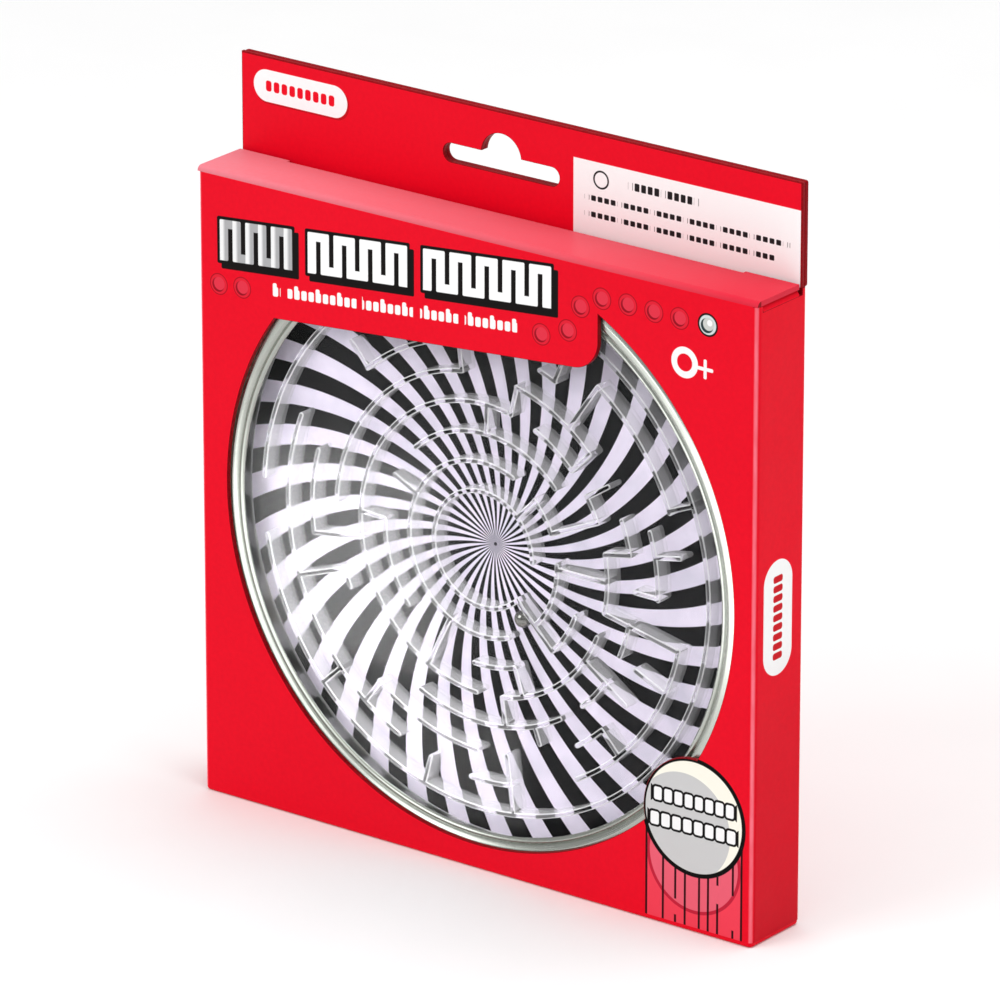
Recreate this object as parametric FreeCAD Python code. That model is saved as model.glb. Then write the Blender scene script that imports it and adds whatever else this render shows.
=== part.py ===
"""A round tin ball maze in its hanging window carton.

Millimetres. +X is to the right, +Z is up, and the window faces -Y.
The origin is the middle of the carton's footprint, on the surface it stands on.
The carton is one folded board blank: each panel and flap between two creases is a solid of its own.
"""
import FreeCAD
import Part

import math
import os

# ---------------------------------------------------------------- the round game
game_outer_r = 71.0          # outside of the rolled rim
rim_band = 5.4               # width of the rim seen from the front
rim_crown = 1.4              # height of the rim's crown above the cover
rim_metal = 0.4              # sheet of the rim
rim_lip = 1.6                # lip rolled under the tin's flange
tin_metal = 0.4              # sheet of the tin
wall_to_lip = 0.6            # gap between the tin's side wall and the rolled lip
flange_clearance = 0.1       # flange and cover inside the rim's skirt
cover_thick = 1.0
print_thick = 0.4
tray_clearance = 0.1         # tray and print inside the tin's side wall
tray_base = 0.6
cover_to_walls = 0.1         # gap between the cover and the tops of the maze walls
ball_diameter = 4.0
ball_headroom = 0.4          # free height over the ball between the tray and the cover
maze_wall = 1.2              # thickness of every maze wall
ring_count = 8
first_ring_r = 13.5          # middle of the innermost ring wall
outer_lane = 4.5             # from the middle of the outermost ring wall to the rim's inner edge
ball_lane_gap = 0.3          # ball to the ring wall it rolls along
ball_angle = -56.0           # where the ball lies, degrees anticlockwise from the right

# Broken ring walls, from the innermost outwards: the stretches that stand, in degrees
# anticlockwise from the right as the game is looked at.
ring_arcs = [
    [(0, 315)],
    [(66, 290), (23, 46), (-45.5, 2.5)],
    [(43.5, 133), (177.5, 220.5), (-95, -71), (-45.5, -21.5)],
    [(79, 267), (44.5, 65), (23, 33.5), (-12, 11), (-81, -23)],
    [(98, 176.5), (44.5, 77), (11, 22), (-23.5, -12), (-48, -35), (-115, -58.5), (-161.5, -155)],
    [(164, 188), (109, 132), (65.5, 71), (-1, 17.5), (-57, -46.7), (-127.5, -92)],
    [(158, 244.5), (84, 121.5), (21.5, 55), (-61.5, -12), (-93.5, -82)],
    [(-170.5, 176.5)],
]

# Straight walls that run outwards: angle, the ring each starts from and the ring it reaches.
# A fraction is a wall that ends in the open between two rings.
radial_walls = [
    (45.5, 1, 2), (-45.5, 1, 3), (23, 2, 4), (0, 2, 4), (153.5, 2, 3), (-116.5, 2, 4), (88, 3, 4),
    (-71, 3, 4), (177.5, 3, 4), (33.2, 4, 5), (44.5, 4, 5), (76.8, 4, 5), (11, 4, 5), (-81, 4, 5),
    (-12.3, 4, 7), (-35, 4, 6), (-172, 4, 6), (98, 5, 6), (55, 5, 7), (-0.6, 5.1, 6), (-69.5, 5, 5.6),
    (-161, 5, 7), (131.7, 6, 7), (65.8, 6, 8), (10.7, 6, 7), (-46.7, 6, 7), (-24, 5.7, 7),
    (-127.2, 6, 7), (-82, 6, 8), (22, 7, 8), (-105.5, 7, 8), (-137, 7, 8),
]

# ---------------------------------------------------------------- the carton
board = 1.2                  # thickness of the board
side_play = 3.8              # game to the side panels
game_lift = 0.3              # game over the bottom flaps
top_play = 2.1               # game to the closure panel
front_gap = 0.3              # front panel to the rim
back_gap = 0.3               # tin to the spacer
spacer_depth = 5.7           # free depth behind the spacer's platform
game_offset_x = -0.2         # middle of the game from the middle of the carton
crease_r = 1.0               # outside radius of the upright creases

window_overlap = 1.5         # how far the panel covers the rim all round
window_shift_x = 1.2         # middle of the window from the middle of the game
window_shift_z = 1.6
title_edge_height = 45.8     # straight edge over the window, above its middle
title_edge_tilt = 4.4        # degrees, rising to the right
title_edge_end = 33.0        # right end of that edge, from the window's middle
title_corner_r = 7.0
badge_r = 13.5
badge_x = 59.3               # middle of the badge tab from the window's middle
badge_z = -48.4

header_height = 22.5
slot_length = 31.6
slot_arm = 4.3               # height of the hang slot's arms
slot_hump_r = 5.4
slot_hump_rise = 1.6         # middle of the hump above the middle of the arms
slot_x = -4.0
slot_height = 10.5           # middle of the arms above the carton's top

glue_lap = 10.0              # header leaf inside the back panel
lap_inset = 4.0              # each end of that lap
header_gap = 0.7             # closure panel to the header
flap_gap = 0.25              # between flaps folded over each other
tuck_length = 8.0
tuck_inset = 14.0            # each end of the tuck, from the carton's side
top_dust_length = 13.0
dust_mitre = 1.1             # slope of the dust flap's slanted edge, length over distance from the front
dust_front_gap = 0.8         # dust flaps to the front panel
bottom_dust_length = 18.0
bottom_flap_gap = 0.2        # inner flap and dust flaps to the front panel
glue_seam_width = 12.0
glue_seam_inset = 4.0        # each end of the glue flap
spacer_side_gap = 0.1        # spacer to the glue flap and to the side panel
spacer_top_gap = 1.5

# ---------------------------------------------------------------- what follows from them
width = 2 * (game_outer_r + side_play + board)
floor_z = 2 * board                                  # top of the two bottom flaps
game_x = game_offset_x
game_z = floor_z + game_lift + game_outer_r
lid_z = game_z + game_outer_r + top_play             # underside of the closure panel
height = lid_z + board
top_z = height + header_height

lane_depth = ball_diameter + ball_headroom
tin_depth = rim_crown + cover_thick + lane_depth + tray_base + print_thick + tin_metal
depth = 2 * board + front_gap + tin_depth + back_gap + board + spacer_depth
front_y = -depth / 2
front_in = front_y + board
back_y = depth / 2
back_in = back_y - board
lap_y = back_in - board                              # front of the header's front leaf
side_x = width / 2
side_in = side_x - board

rim_y = front_in + front_gap                         # front of the rim
cover_y = rim_y + rim_crown
lane_y = cover_y + cover_thick
tray_y = lane_y + lane_depth
print_y = tray_y + tray_base
tin_y = print_y + print_thick
tin_back = tin_y + tin_metal
platform_y = tin_back + back_gap
leg_y = platform_y + board

rim_inner_r = game_outer_r - rim_band
skirt_in_r = game_outer_r - rim_metal
tin_wall_r = game_outer_r - rim_lip - wall_to_lip
tin_inner_r = tin_wall_r - tin_metal
tray_r = tin_inner_r - tray_clearance
last_ring_r = rim_inner_r - outer_lane
ring_pitch = (last_ring_r - first_ring_r) / (ring_count - 1)
ball_track_r = first_ring_r + ring_pitch - maze_wall / 2 - ball_lane_gap - ball_diameter / 2

window_r = game_outer_r - window_overlap
window_x = game_x + window_shift_x
window_z = game_z + window_shift_z


def vec(x, y, z):
    """A point or a direction."""
    return FreeCAD.Vector(x, y, z)


def block(x, y, z):
    """A box from three (low, high) pairs."""
    size = (x[1] - x[0], y[1] - y[0], z[1] - z[0])
    return Part.makeBox(*size, vec(x[0], y[0], z[0]))


def disc(radius, y0, y1, x=game_x, z=game_z):
    """A round plate between two depths, its axis along Y."""
    return Part.makeCylinder(radius, y1 - y0, vec(x, y0, z), vec(0, 1, 0))


def upright_plate(edges, y0, y1):
    """The closed outline of edges in the plane y = y0, thickened back to y1."""
    face = Part.Face(Part.Wire(Part.__sortEdges__(edges)))
    return face.extrude(vec(0, y1 - y0, 0))


def polygon_plate(points, y0, y1):
    """A plate from (x, z) corners."""
    corners = [vec(x, y0, z) for x, z in points]
    wire = Part.makePolygon(corners + corners[:1])
    return Part.Face(wire).extrude(vec(0, y1 - y0, 0))


def on_game(radius, angle, y):
    """A point of the game by its radius and its angle in degrees."""
    turn = math.radians(angle)
    return vec(game_x + radius * math.cos(turn), y, game_z + radius * math.sin(turn))


def turned(profile):
    """A ring or dish: a closed wire of the game's cross-section turned about its axis."""
    return Part.Face(profile).revolve(vec(game_x, 0, game_z), vec(0, 1, 0), 360)


def section_point(radius, y):
    """A corner of the game's cross-section."""
    return vec(game_x + radius, y, game_z)


def section(points):
    """A closed polygon of the game's cross-section, from (radius, y) corners."""
    corners = [section_point(r, y) for r, y in points]
    return Part.makePolygon(corners + corners[:1])


def ring_radius(number):
    """Middle radius of a ring wall, counted from 1. Fractions fall between rings."""
    return first_ring_r + (number - 1) * ring_pitch


# ---------------------------------------------------------------- the round game's pieces
def rim_ring():
    """The rolled rim: a crown over the cover's edge, a skirt, and a lip under the tin's flange."""
    mid_r = (rim_inner_r + game_outer_r) / 2
    lip_y = lane_y + tin_metal
    back = lip_y + rim_metal
    outer = [section_point(rim_inner_r, cover_y), section_point(mid_r, rim_y),
             section_point(game_outer_r, cover_y)]
    inner = [section_point(skirt_in_r, cover_y), section_point(mid_r, rim_y + rim_metal),
             section_point(rim_inner_r + rim_metal, cover_y)]
    line = [outer[2], section_point(game_outer_r, back), section_point(game_outer_r - rim_lip, back),
            section_point(game_outer_r - rim_lip, lip_y), section_point(skirt_in_r, lip_y), inner[0]]
    edges = [Part.Arc(*outer).toShape(), Part.Arc(*inner).toShape()]
    edges += [Part.LineSegment(a, b).toShape() for a, b in zip(line, line[1:])]
    edges.append(Part.LineSegment(inner[2], outer[0]).toShape())
    return turned(Part.Wire(Part.__sortEdges__(edges)))


def tin_dish():
    """The shallow pressed tin: a flat bottom, a side wall and an outward flange."""
    flange_r = skirt_in_r - flange_clearance
    return turned(section([
        (0, tin_y), (tin_inner_r, tin_y), (tin_inner_r, lane_y), (flange_r, lane_y),
        (flange_r, lane_y + tin_metal), (tin_wall_r, lane_y + tin_metal), (tin_wall_r, tin_back),
        (0, tin_back)]))


def clear_cover():
    """The clear front plate, held between the rim's crown and the tin's flange."""
    return disc(skirt_in_r - flange_clearance, cover_y, lane_y)


def printed_disc():
    """The printed disc under the tray."""
    return disc(tray_r, print_y, tin_y)


def ring_wall(radius, start, end, y0, y1):
    """A stretch of ring wall between two angles."""
    half = maze_wall / 2
    middle = (start + end) / 2
    edges = []
    for r in (radius - half, radius + half):
        arc = Part.Arc(on_game(r, start, y0), on_game(r, middle, y0), on_game(r, end, y0))
        edges.append(arc.toShape())
    for angle in (start, end):
        ends = on_game(radius - half, angle, y0), on_game(radius + half, angle, y0)
        edges.append(Part.LineSegment(*ends).toShape())
    return upright_plate(edges, y0, y1)


def radial_wall(angle, inner_r, outer_r, y0, y1):
    """A straight wall of constant thickness that points at the game's middle."""
    half = maze_wall / 2
    wall = block((inner_r, outer_r), (y0, y1), (-half, half))
    wall.rotate(vec(0, 0, 0), vec(0, -1, 0), angle)
    wall.translate(vec(game_x, 0, game_z))
    return wall


def maze_tray():
    """The clear moulding: a thin base with every ring wall and radial wall standing on it."""
    wall_y = lane_y + cover_to_walls
    walls = []
    for number, arcs in enumerate(ring_arcs, start=1):
        walls += [ring_wall(ring_radius(number), a, b, wall_y, print_y) for a, b in arcs]
    walls += [radial_wall(angle, ring_radius(a), ring_radius(b), wall_y, print_y)
              for angle, a, b in radial_walls]
    return disc(tray_r, tray_y, print_y).fuse(walls).removeSplitter()


def steel_ball():
    """The ball, in the lane between the two innermost ring walls."""
    return Part.makeSphere(ball_diameter / 2, on_game(ball_track_r, ball_angle, lane_y + lane_depth / 2))


# ---------------------------------------------------------------- the carton's pieces
def title_tab():
    """The panel's tab above the window: a slanted lower edge with a round corner at its right end."""
    tilt = math.radians(title_edge_tilt)
    reach = window_r + title_corner_r
    corner = vec(window_x + title_edge_end, front_y,
                 window_z + title_edge_height + title_edge_end * math.tan(tilt))
    left = vec(window_x - reach, front_y, window_z + title_edge_height - reach * math.tan(tilt))
    top = window_z + reach
    setback = title_corner_r * math.tan((math.pi / 2 - tilt) / 2)
    along = vec(math.cos(tilt), 0, math.sin(tilt))
    arc_start = corner - along * setback
    arc_end = corner + vec(0, 0, setback)
    inward = (arc_start + arc_end) * 0.5 - corner
    centre_gap = title_corner_r / math.cos((math.pi / 2 - tilt) / 2)
    centre = corner + inward.normalize() * centre_gap
    arc_mid = centre + (corner - centre).normalize() * title_corner_r
    points = [arc_end, vec(corner.x, front_y, top), vec(left.x, front_y, top), left, arc_start]
    edges = [Part.LineSegment(a, b).toShape() for a, b in zip(points, points[1:])]
    edges.append(Part.Arc(arc_start, arc_mid, arc_end).toShape())
    return upright_plate(edges, front_y, front_in)


def round_creases(panel, y):
    """Rounds a panel's two upright outer edges at depth y."""
    edges = [e for e in panel.Edges
             if abs(e.BoundBox.YMin - y) < 1e-6 and abs(e.BoundBox.YMax - y) < 1e-6
             and e.BoundBox.XLength < 1e-6 and abs(abs(e.BoundBox.XMin) - side_x) < 1e-6]
    return panel.makeFillet(min(crease_r, 0.9 * board), edges)


def front_panel():
    """The front, cut out to the window and keeping the title tab and the round badge tab."""
    window = disc(window_r, front_y, front_in, window_x, window_z)
    badge = disc(badge_r, front_y, front_in, window_x + badge_x, window_z + badge_z)
    opening = window.cut(title_tab()).cut(badge)
    panel = block((-side_x, side_x), (front_y, front_in), (board, lid_z))
    return round_creases(panel, front_y).cut(opening)


def hang_slot(y0, y1):
    """The hang slot: two round-ended arms with a hump over the middle."""
    half = slot_length / 2 - slot_arm / 2
    z = height + slot_height
    arms = block((slot_x - half, slot_x + half), (y0, y1), (z - slot_arm / 2, z + slot_arm / 2))
    ends = [disc(slot_arm / 2, y0, y1, slot_x + side * half, z) for side in (-1, 1)]
    hump = disc(slot_hump_r, y0, y1, slot_x, z + slot_hump_rise)
    hump = hump.common(block((slot_x - slot_hump_r, slot_x + slot_hump_r), (y0, y1),
                             (z, z + slot_hump_rise + slot_hump_r)))
    return arms.fuse(ends + [hump]).removeSplitter()


def back_panel():
    """The back, which runs on upwards as the header's rear leaf."""
    panel = block((-side_x, side_x), (back_in, back_y), (board, top_z))
    return round_creases(panel, back_y).cut(hang_slot(back_in, back_y))


def header_front_leaf():
    """The header's folded-over leaf, with a narrower lap glued down inside the back panel."""
    leaf = block((-side_x, side_x), (lap_y, back_in), (height, top_z))
    lap = block((-side_in + lap_inset, side_in - lap_inset), (lap_y, back_in), (height - glue_lap, height))
    return leaf.fuse(lap).removeSplitter().cut(hang_slot(lap_y, back_in))


def side_panel(side):
    """The left (-1) or right (1) side, under the dust flap's crease."""
    x = sorted((side * side_in, side * side_x))
    return block(x, (front_in, back_in), (board, lid_z - flap_gap - board))


def glue_seam():
    """The glue flap: hinged from the back panel's left edge, glued inside the left side."""
    x = (-side_in, -side_in + board)
    y = (back_in - glue_seam_width, back_in)
    return block(x, y, (floor_z + board + glue_seam_inset, lid_z - board - glue_seam_inset))


def bottom_outer_flap():
    """The outermost bottom flap, over the whole footprint."""
    return block((-side_x, side_x), (front_y, back_y), (0, board))


def bottom_inner_flap():
    """The inner bottom flap, glued on the outer one."""
    return block((-side_in, side_in), (front_in + bottom_flap_gap, back_in), (board, floor_z))


def bottom_dust_flap(side):
    """A short flap from a side panel, glued over the inner flap."""
    x = sorted((side * side_in, side * (side_in - bottom_dust_length)))
    return block(x, (front_in + bottom_flap_gap, back_in), (floor_z, floor_z + board))


def top_flap():
    """The closure panel, hinged on the front panel's top crease."""
    return block((-side_x, side_x), (front_y, lap_y - header_gap), (lid_z, height))


def top_tuck():
    """The closure panel's tuck, which slides down in front of the header's lap."""
    x = side_x - tuck_inset
    y = lap_y - header_gap
    return block((-x, x), (y - board, y), (lid_z - tuck_length, lid_z))


def top_dust_flap(side):
    """A mitred flap hinged on a side panel's top crease, folded in under the closure panel."""
    crease_x = side * side_x
    top = lid_z - flap_gap
    near = front_in + dust_front_gap
    far = lap_y - header_gap
    full = top_dust_length / dust_mitre + front_y
    corners = [(0, near), (dust_mitre * (near - front_y), near), (top_dust_length, full),
               (top_dust_length, far), (0, far)]
    points = [vec(crease_x - side * d, y, top - board) for d, y in corners]
    face = Part.Face(Part.makePolygon(points + points[:1]))
    return face.extrude(vec(0, 0, board))


def spacer_platform():
    """The board pad behind the tin."""
    right = side_in - spacer_side_gap
    left = -side_in + board + spacer_side_gap
    return block((left, right), (platform_y, leg_y), (floor_z + board, lid_z - board - spacer_top_gap))


def spacer_leg(side):
    """A turned-back edge of the pad, which stands on the back panel."""
    edge = side_in - spacer_side_gap if side > 0 else side_in - board - spacer_side_gap
    x = sorted((side * edge, side * (edge - board)))
    return block(x, (leg_y, back_in), (floor_z + board, lid_z - board - spacer_top_gap))


def build():
    """Every piece by its node name."""
    return {
        "front_panel": front_panel(),
        "back_panel": back_panel(),
        "left_panel": side_panel(-1),
        "right_panel": side_panel(1),
        "glue_seam": glue_seam(),
        "header_front_leaf": header_front_leaf(),
        "bottom_outer_flap": bottom_outer_flap(),
        "bottom_inner_flap": bottom_inner_flap(),
        "bottom_dust_flap_left": bottom_dust_flap(-1),
        "bottom_dust_flap_right": bottom_dust_flap(1),
        "top_flap": top_flap(),
        "top_tuck": top_tuck(),
        "top_dust_flap_left": top_dust_flap(-1),
        "top_dust_flap_right": top_dust_flap(1),
        "spacer_platform": spacer_platform(),
        "spacer_leg_left": spacer_leg(-1),
        "spacer_leg_right": spacer_leg(1),
        "rim_ring": rim_ring(),
        "tin_dish": tin_dish(),
        "clear_cover": clear_cover(),
        "maze_tray": maze_tray(),
        "printed_disc": printed_disc(),
        "steel_ball": steel_ball(),
    }


os.makedirs("parts", exist_ok=True)
for name, shape in build().items():
    if not shape.isValid():
        raise SystemExit(name + " is not a valid solid")
    shape.exportStep("parts/" + name + ".step")
    print(name, "solids", len(shape.Solids), "volume", round(shape.Volume, 1), "mm3")
print("carton", round(width, 2), "x", round(depth, 2), "x", round(top_z, 2), "mm, panel height", round(height, 2))
print("game middle", round(game_x, 2), round(game_z, 2), "ball track radius", round(ball_track_r, 2))
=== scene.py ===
"""Looks of a round tin ball maze in its hanging window carton.

Lengths are millimetres until a mesh is written: +X right, +Z up, the window faces -Y. The pieces
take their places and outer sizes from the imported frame. Roundings, the plan of the maze, the
window, the hang slot and the print are given here. The carton is folded board, the game is
pressed tin with a clear cover over a clear moulded maze, and a printed disc lies under the maze.
"""
import functools
import logging
import math
from dataclasses import dataclass, field
from enum import Enum
from typing import Iterable, NamedTuple, Sequence

import bmesh
import bpy
import numpy as np
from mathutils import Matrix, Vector


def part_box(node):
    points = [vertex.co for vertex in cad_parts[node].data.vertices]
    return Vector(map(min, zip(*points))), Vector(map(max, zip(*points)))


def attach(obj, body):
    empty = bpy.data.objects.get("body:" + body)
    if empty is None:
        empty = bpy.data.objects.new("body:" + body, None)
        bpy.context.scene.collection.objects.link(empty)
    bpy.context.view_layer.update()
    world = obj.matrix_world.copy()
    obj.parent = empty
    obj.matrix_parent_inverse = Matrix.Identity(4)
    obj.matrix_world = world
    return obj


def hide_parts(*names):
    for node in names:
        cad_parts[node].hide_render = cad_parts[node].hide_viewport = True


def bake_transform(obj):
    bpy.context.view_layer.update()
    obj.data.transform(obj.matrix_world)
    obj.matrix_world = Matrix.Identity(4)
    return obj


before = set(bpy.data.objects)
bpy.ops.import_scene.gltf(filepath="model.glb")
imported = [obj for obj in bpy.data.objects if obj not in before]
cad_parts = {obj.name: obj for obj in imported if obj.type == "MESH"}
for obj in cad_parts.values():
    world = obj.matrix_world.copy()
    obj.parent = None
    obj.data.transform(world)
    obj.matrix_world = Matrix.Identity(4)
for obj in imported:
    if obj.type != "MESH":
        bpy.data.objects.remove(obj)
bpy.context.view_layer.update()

MM = 0.001
log = logging.getLogger("maze_game")
Material, Mesh, Node = bpy.types.Material, bpy.types.Mesh, bpy.types.Node
Object, Socket = bpy.types.Object, bpy.types.NodeSocket
# A face of the maze lies flat, or stands upright, by how far its normal points along Y.
FLAT_FACE, UPRIGHT_FACE = 0.985, 0.15


# ------------------------------------------------------------------ names
class Body(Enum):
    """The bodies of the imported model."""
    CARTON = "carton"
    CLOSURE = "closure"
    TUCK = "tuck"
    DUST_LEFT = "dust_left"
    DUST_RIGHT = "dust_right"
    GAME = "game"
    BALL = "ball"


class Slot(Enum):
    """The record's material slots."""
    RED_BOARD = "red_board"
    PLAIN_BOARD = "plain_board"
    RIM_TIN = "rim_tin"
    DISH_TIN = "dish_tin"
    CLEAR_PLASTIC = "clear_plastic"
    SPIRAL_PRINT = "spiral_print"
    BALL_STEEL = "ball_steel"


class Skin(Enum):
    """Which side of a sheet of board a face belongs to."""
    OUTSIDE = 0
    CUT = 1
    INSIDE = 2


class Plane(Enum):
    """How a flat shape lies: the axes of its two outline directions and of its thickness."""
    UPRIGHT = (0, 2, 1)
    LEVEL = (0, 1, 2)

    def place(self, uvw: np.ndarray) -> np.ndarray:
        """Turns (u, v, w) points into (x, y, z)."""
        out = np.empty_like(uvw)
        out[..., list(self.value)] = uvw
        return out


@dataclass(frozen=True)
class Box:
    """A CAD node's box in millimetres."""
    lo: np.ndarray
    hi: np.ndarray

    @classmethod
    def of(cls, node: str) -> "Box":
        """The box of a CAD node at rest."""
        lo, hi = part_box(node)
        return cls(np.array(lo) / MM, np.array(hi) / MM)

    @property
    def mid(self) -> np.ndarray:
        """The middle of the box."""
        return (self.lo + self.hi) / 2

    @property
    def size(self) -> np.ndarray:
        """The lengths of its sides."""
        return self.hi - self.lo


# ------------------------------------------------------------------ surfaces
@dataclass
class Shell:
    """Points in millimetres with faces and the side of the sheet each face belongs to."""
    points: np.ndarray
    faces: list[list[int]]
    skins: list[int]

    @classmethod
    def of_rings(cls, rings: np.ndarray, skins: Sequence[Skin], closed: bool = False,
                 caps: tuple[Skin, Skin] = (Skin.CUT, Skin.CUT)) -> "Shell":
        """A surface from rings of points: quads join each ring to the next.

        Args:
            rings: points, shaped (rings, points around, 3). Each ring closes on itself.
            skins: the skin of each strip between two rings.
            closed: whether the last ring joins the first. If not, both ends get a cap.
            caps: the skins of the two end caps.

        Returns:
            The shell.
        """
        count, around = rings.shape[:2]
        i = np.arange(count if closed else count - 1)[:, None]
        j = np.arange(around)[None, :]
        after, turn = (i + 1) % count, (j + 1) % around
        quads = np.stack([i * around + j, i * around + turn, after * around + turn,
                          after * around + j], -1)
        faces = quads.reshape(-1, 4).tolist()
        tags = np.repeat([s.value for s in skins], around).tolist()
        if not closed:
            faces += [list(range(around)), list(range((count - 1) * around, count * around))]
            tags += [caps[0].value, caps[1].value]
        return cls(rings.reshape(-1, 3), faces, tags)


def arc(centre: tuple[float, float], radius: float, start: float, end: float,
        steps: int) -> np.ndarray:
    """Points of a circle: the centre plus radius times (cos, sin) of evenly spaced degrees."""
    turn = np.radians(np.linspace(start, end, steps + 1))
    return np.stack([centre[0] + radius * np.cos(turn), centre[1] + radius * np.sin(turn)], -1)


def round_rectangle(lo: tuple[float, float], hi: tuple[float, float], radius: float,
                    steps: int = 5) -> np.ndarray:
    """A rectangle's outline, anticlockwise, whose corners are quarter circles."""
    r = radius
    return np.concatenate([
        arc((hi[0] - r, lo[1] + r), r, -90, 0, steps), arc((hi[0] - r, hi[1] - r), r, 0, 90, steps),
        arc((lo[0] + r, hi[1] - r), r, 90, 180, steps), arc((lo[0] + r, lo[1] + r), r, 180, 270, steps)])


def miters(outline: np.ndarray) -> np.ndarray:
    """Outward offset directions of a closed anticlockwise outline.

    Each is the sum of the two neighbouring edges' unit normals over one plus their dot product,
    so moving every point along its own by the same amount moves every edge by that amount.
    """
    edge = np.roll(outline, -1, 0) - outline
    edge /= np.linalg.norm(edge, axis=1, keepdims=True)
    out = np.stack([edge[:, 1], -edge[:, 0]], -1)
    before = np.roll(out, 1, 0)
    return (out + before) / (1 + (out * before).sum(1, keepdims=True))


def edge_profile(w0: float, w1: float, r0: float, r1: float, steps: int = 3) -> np.ndarray:
    """The edge of a sheet seen end on, from its face at w0 to its face at w1.

    Returns:
        (w, inset) pairs: a quarter circle of radius r0, a straight run, a quarter circle of
        radius r1. Inset is how far the edge lies inside the outline.
    """
    turn = np.radians(np.linspace(0, 90, steps + 1))
    sign = math.copysign(1.0, w1 - w0)
    near = np.stack([w0 + sign * r0 * (1 - np.cos(turn)), r0 * (1 - np.sin(turn))], -1)
    far = np.stack([w1 - sign * r1 * (1 - np.cos(turn)), r1 * (1 - np.sin(turn))], -1)
    return np.concatenate([near, far[::-1]])


def slab(outline: np.ndarray, w0: float, w1: float, r0: float, r1: float, plane: Plane,
         steps: int = 3) -> Shell:
    """A flat sheet with rounded edges: the outline carried along the edge profile.

    Args:
        outline: (u, v) points, anticlockwise.
        w0, w1: the two faces' places across the thickness.
        r0, r1: the rounding at each face.
        plane: how the sheet lies.
        steps: steps of each rounding.

    Returns:
        The closed shell.
    """
    profile = edge_profile(w0, w1, r0, r1, steps)
    inward = -miters(outline)
    uv = outline[None] + profile[:, 1, None, None] * inward[None]
    w = np.broadcast_to(profile[:, 0, None, None], uv.shape[:2] + (1,))
    rings = plane.place(np.concatenate([uv, w], -1))
    return Shell.of_rings(rings, [Skin.CUT] * (len(profile) - 1), caps=(Skin.OUTSIDE, Skin.INSIDE))


def around(outline: np.ndarray, centre: np.ndarray, angles: np.ndarray) -> np.ndarray:
    """Where rays from a centre cross an outline that is visible from it.

    The distance along a ray u that meets the edge from A to B is cross(A, B - A) over
    cross(u, B - A), with A and B taken from the centre.
    """
    rel = outline - centre
    turn = np.arctan2(rel[:, 1], rel[:, 0])
    order = np.argsort(turn)
    rel, turn = rel[order], turn[order]
    at = (np.searchsorted(turn, angles, side="right") - 1) % len(rel)
    a, b = rel[at], rel[(at + 1) % len(rel)]
    u = np.stack([np.cos(angles), np.sin(angles)], -1)
    along = b - a
    reach = (a[:, 0] * along[:, 1] - a[:, 1] * along[:, 0]) / (u[:, 0] * along[:, 1] - u[:, 1] * along[:, 0])
    return centre + u * reach[:, None]


def pierced(hole: np.ndarray, outer: np.ndarray, centre: tuple[float, float], w0: float, w1: float,
            hole_round: float, outer_round: float) -> Shell:
    """A flat sheet with one hole, as a ring of cells between the hole and the outer outline.

    Every corner of either outline gives one ray from the centre, and each ray gives one point
    on both outlines. The closed cross-section along a ray runs from the hole's edge profile to
    the outer edge profile, so the surface is a torus.

    Args:
        hole, outer: closed outlines that are visible from the centre.
        centre: the point the rays start from.
        w0, w1: the outside and the inside face across the thickness.
        hole_round, outer_round: rounding of the cut edges.

    Returns:
        The closed shell.
    """
    c = np.array(centre)
    every = np.concatenate([hole, outer]) - c
    angles = np.unique(np.round(np.arctan2(every[:, 1], every[:, 0]), 7))
    inner, rim = around(hole, c, angles), around(outer, c, angles)
    outward, mid, half = miters(inner), (rim.max(0) + rim.min(0)) / 2, (rim.max(0) - rim.min(0)) / 2
    hole_edge = edge_profile(w0, w1, hole_round, hole_round)
    rim_edge = edge_profile(w1, w0, outer_round, outer_round)
    inner_rings = inner[None] + hole_edge[:, 1, None, None] * outward[None]
    rim_rings = mid + (rim - mid)[None] * (1 - rim_edge[:, 1, None, None] / half)
    uv = np.concatenate([inner_rings, rim_rings])
    w = np.concatenate([hole_edge[:, 0], rim_edge[:, 0]])[:, None, None]
    rings = Plane.UPRIGHT.place(np.concatenate([uv, np.broadcast_to(w, uv.shape[:2] + (1,))], -1))
    strip = [Skin.CUT] * (len(hole_edge) - 1)
    return Shell.of_rings(rings, strip + [Skin.INSIDE] + strip + [Skin.OUTSIDE], closed=True)


def turned(profile: np.ndarray, centre: tuple[float, float], steps: int) -> Shell:
    """A closed cross-section of (radius, y) points turned about an axis along Y.

    The point at angle t is the centre plus radius times (cos t, sin t) in X and Z.
    """
    turn = np.linspace(0, 2 * math.pi, steps, endpoint=False)[:, None]
    r, y = profile[None, :, 0], profile[None, :, 1]
    rings = np.stack([centre[0] + r * np.cos(turn), y + 0 * turn, centre[1] + r * np.sin(turn)], -1)
    return Shell.of_rings(rings, [Skin.OUTSIDE] * steps, closed=True)


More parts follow.
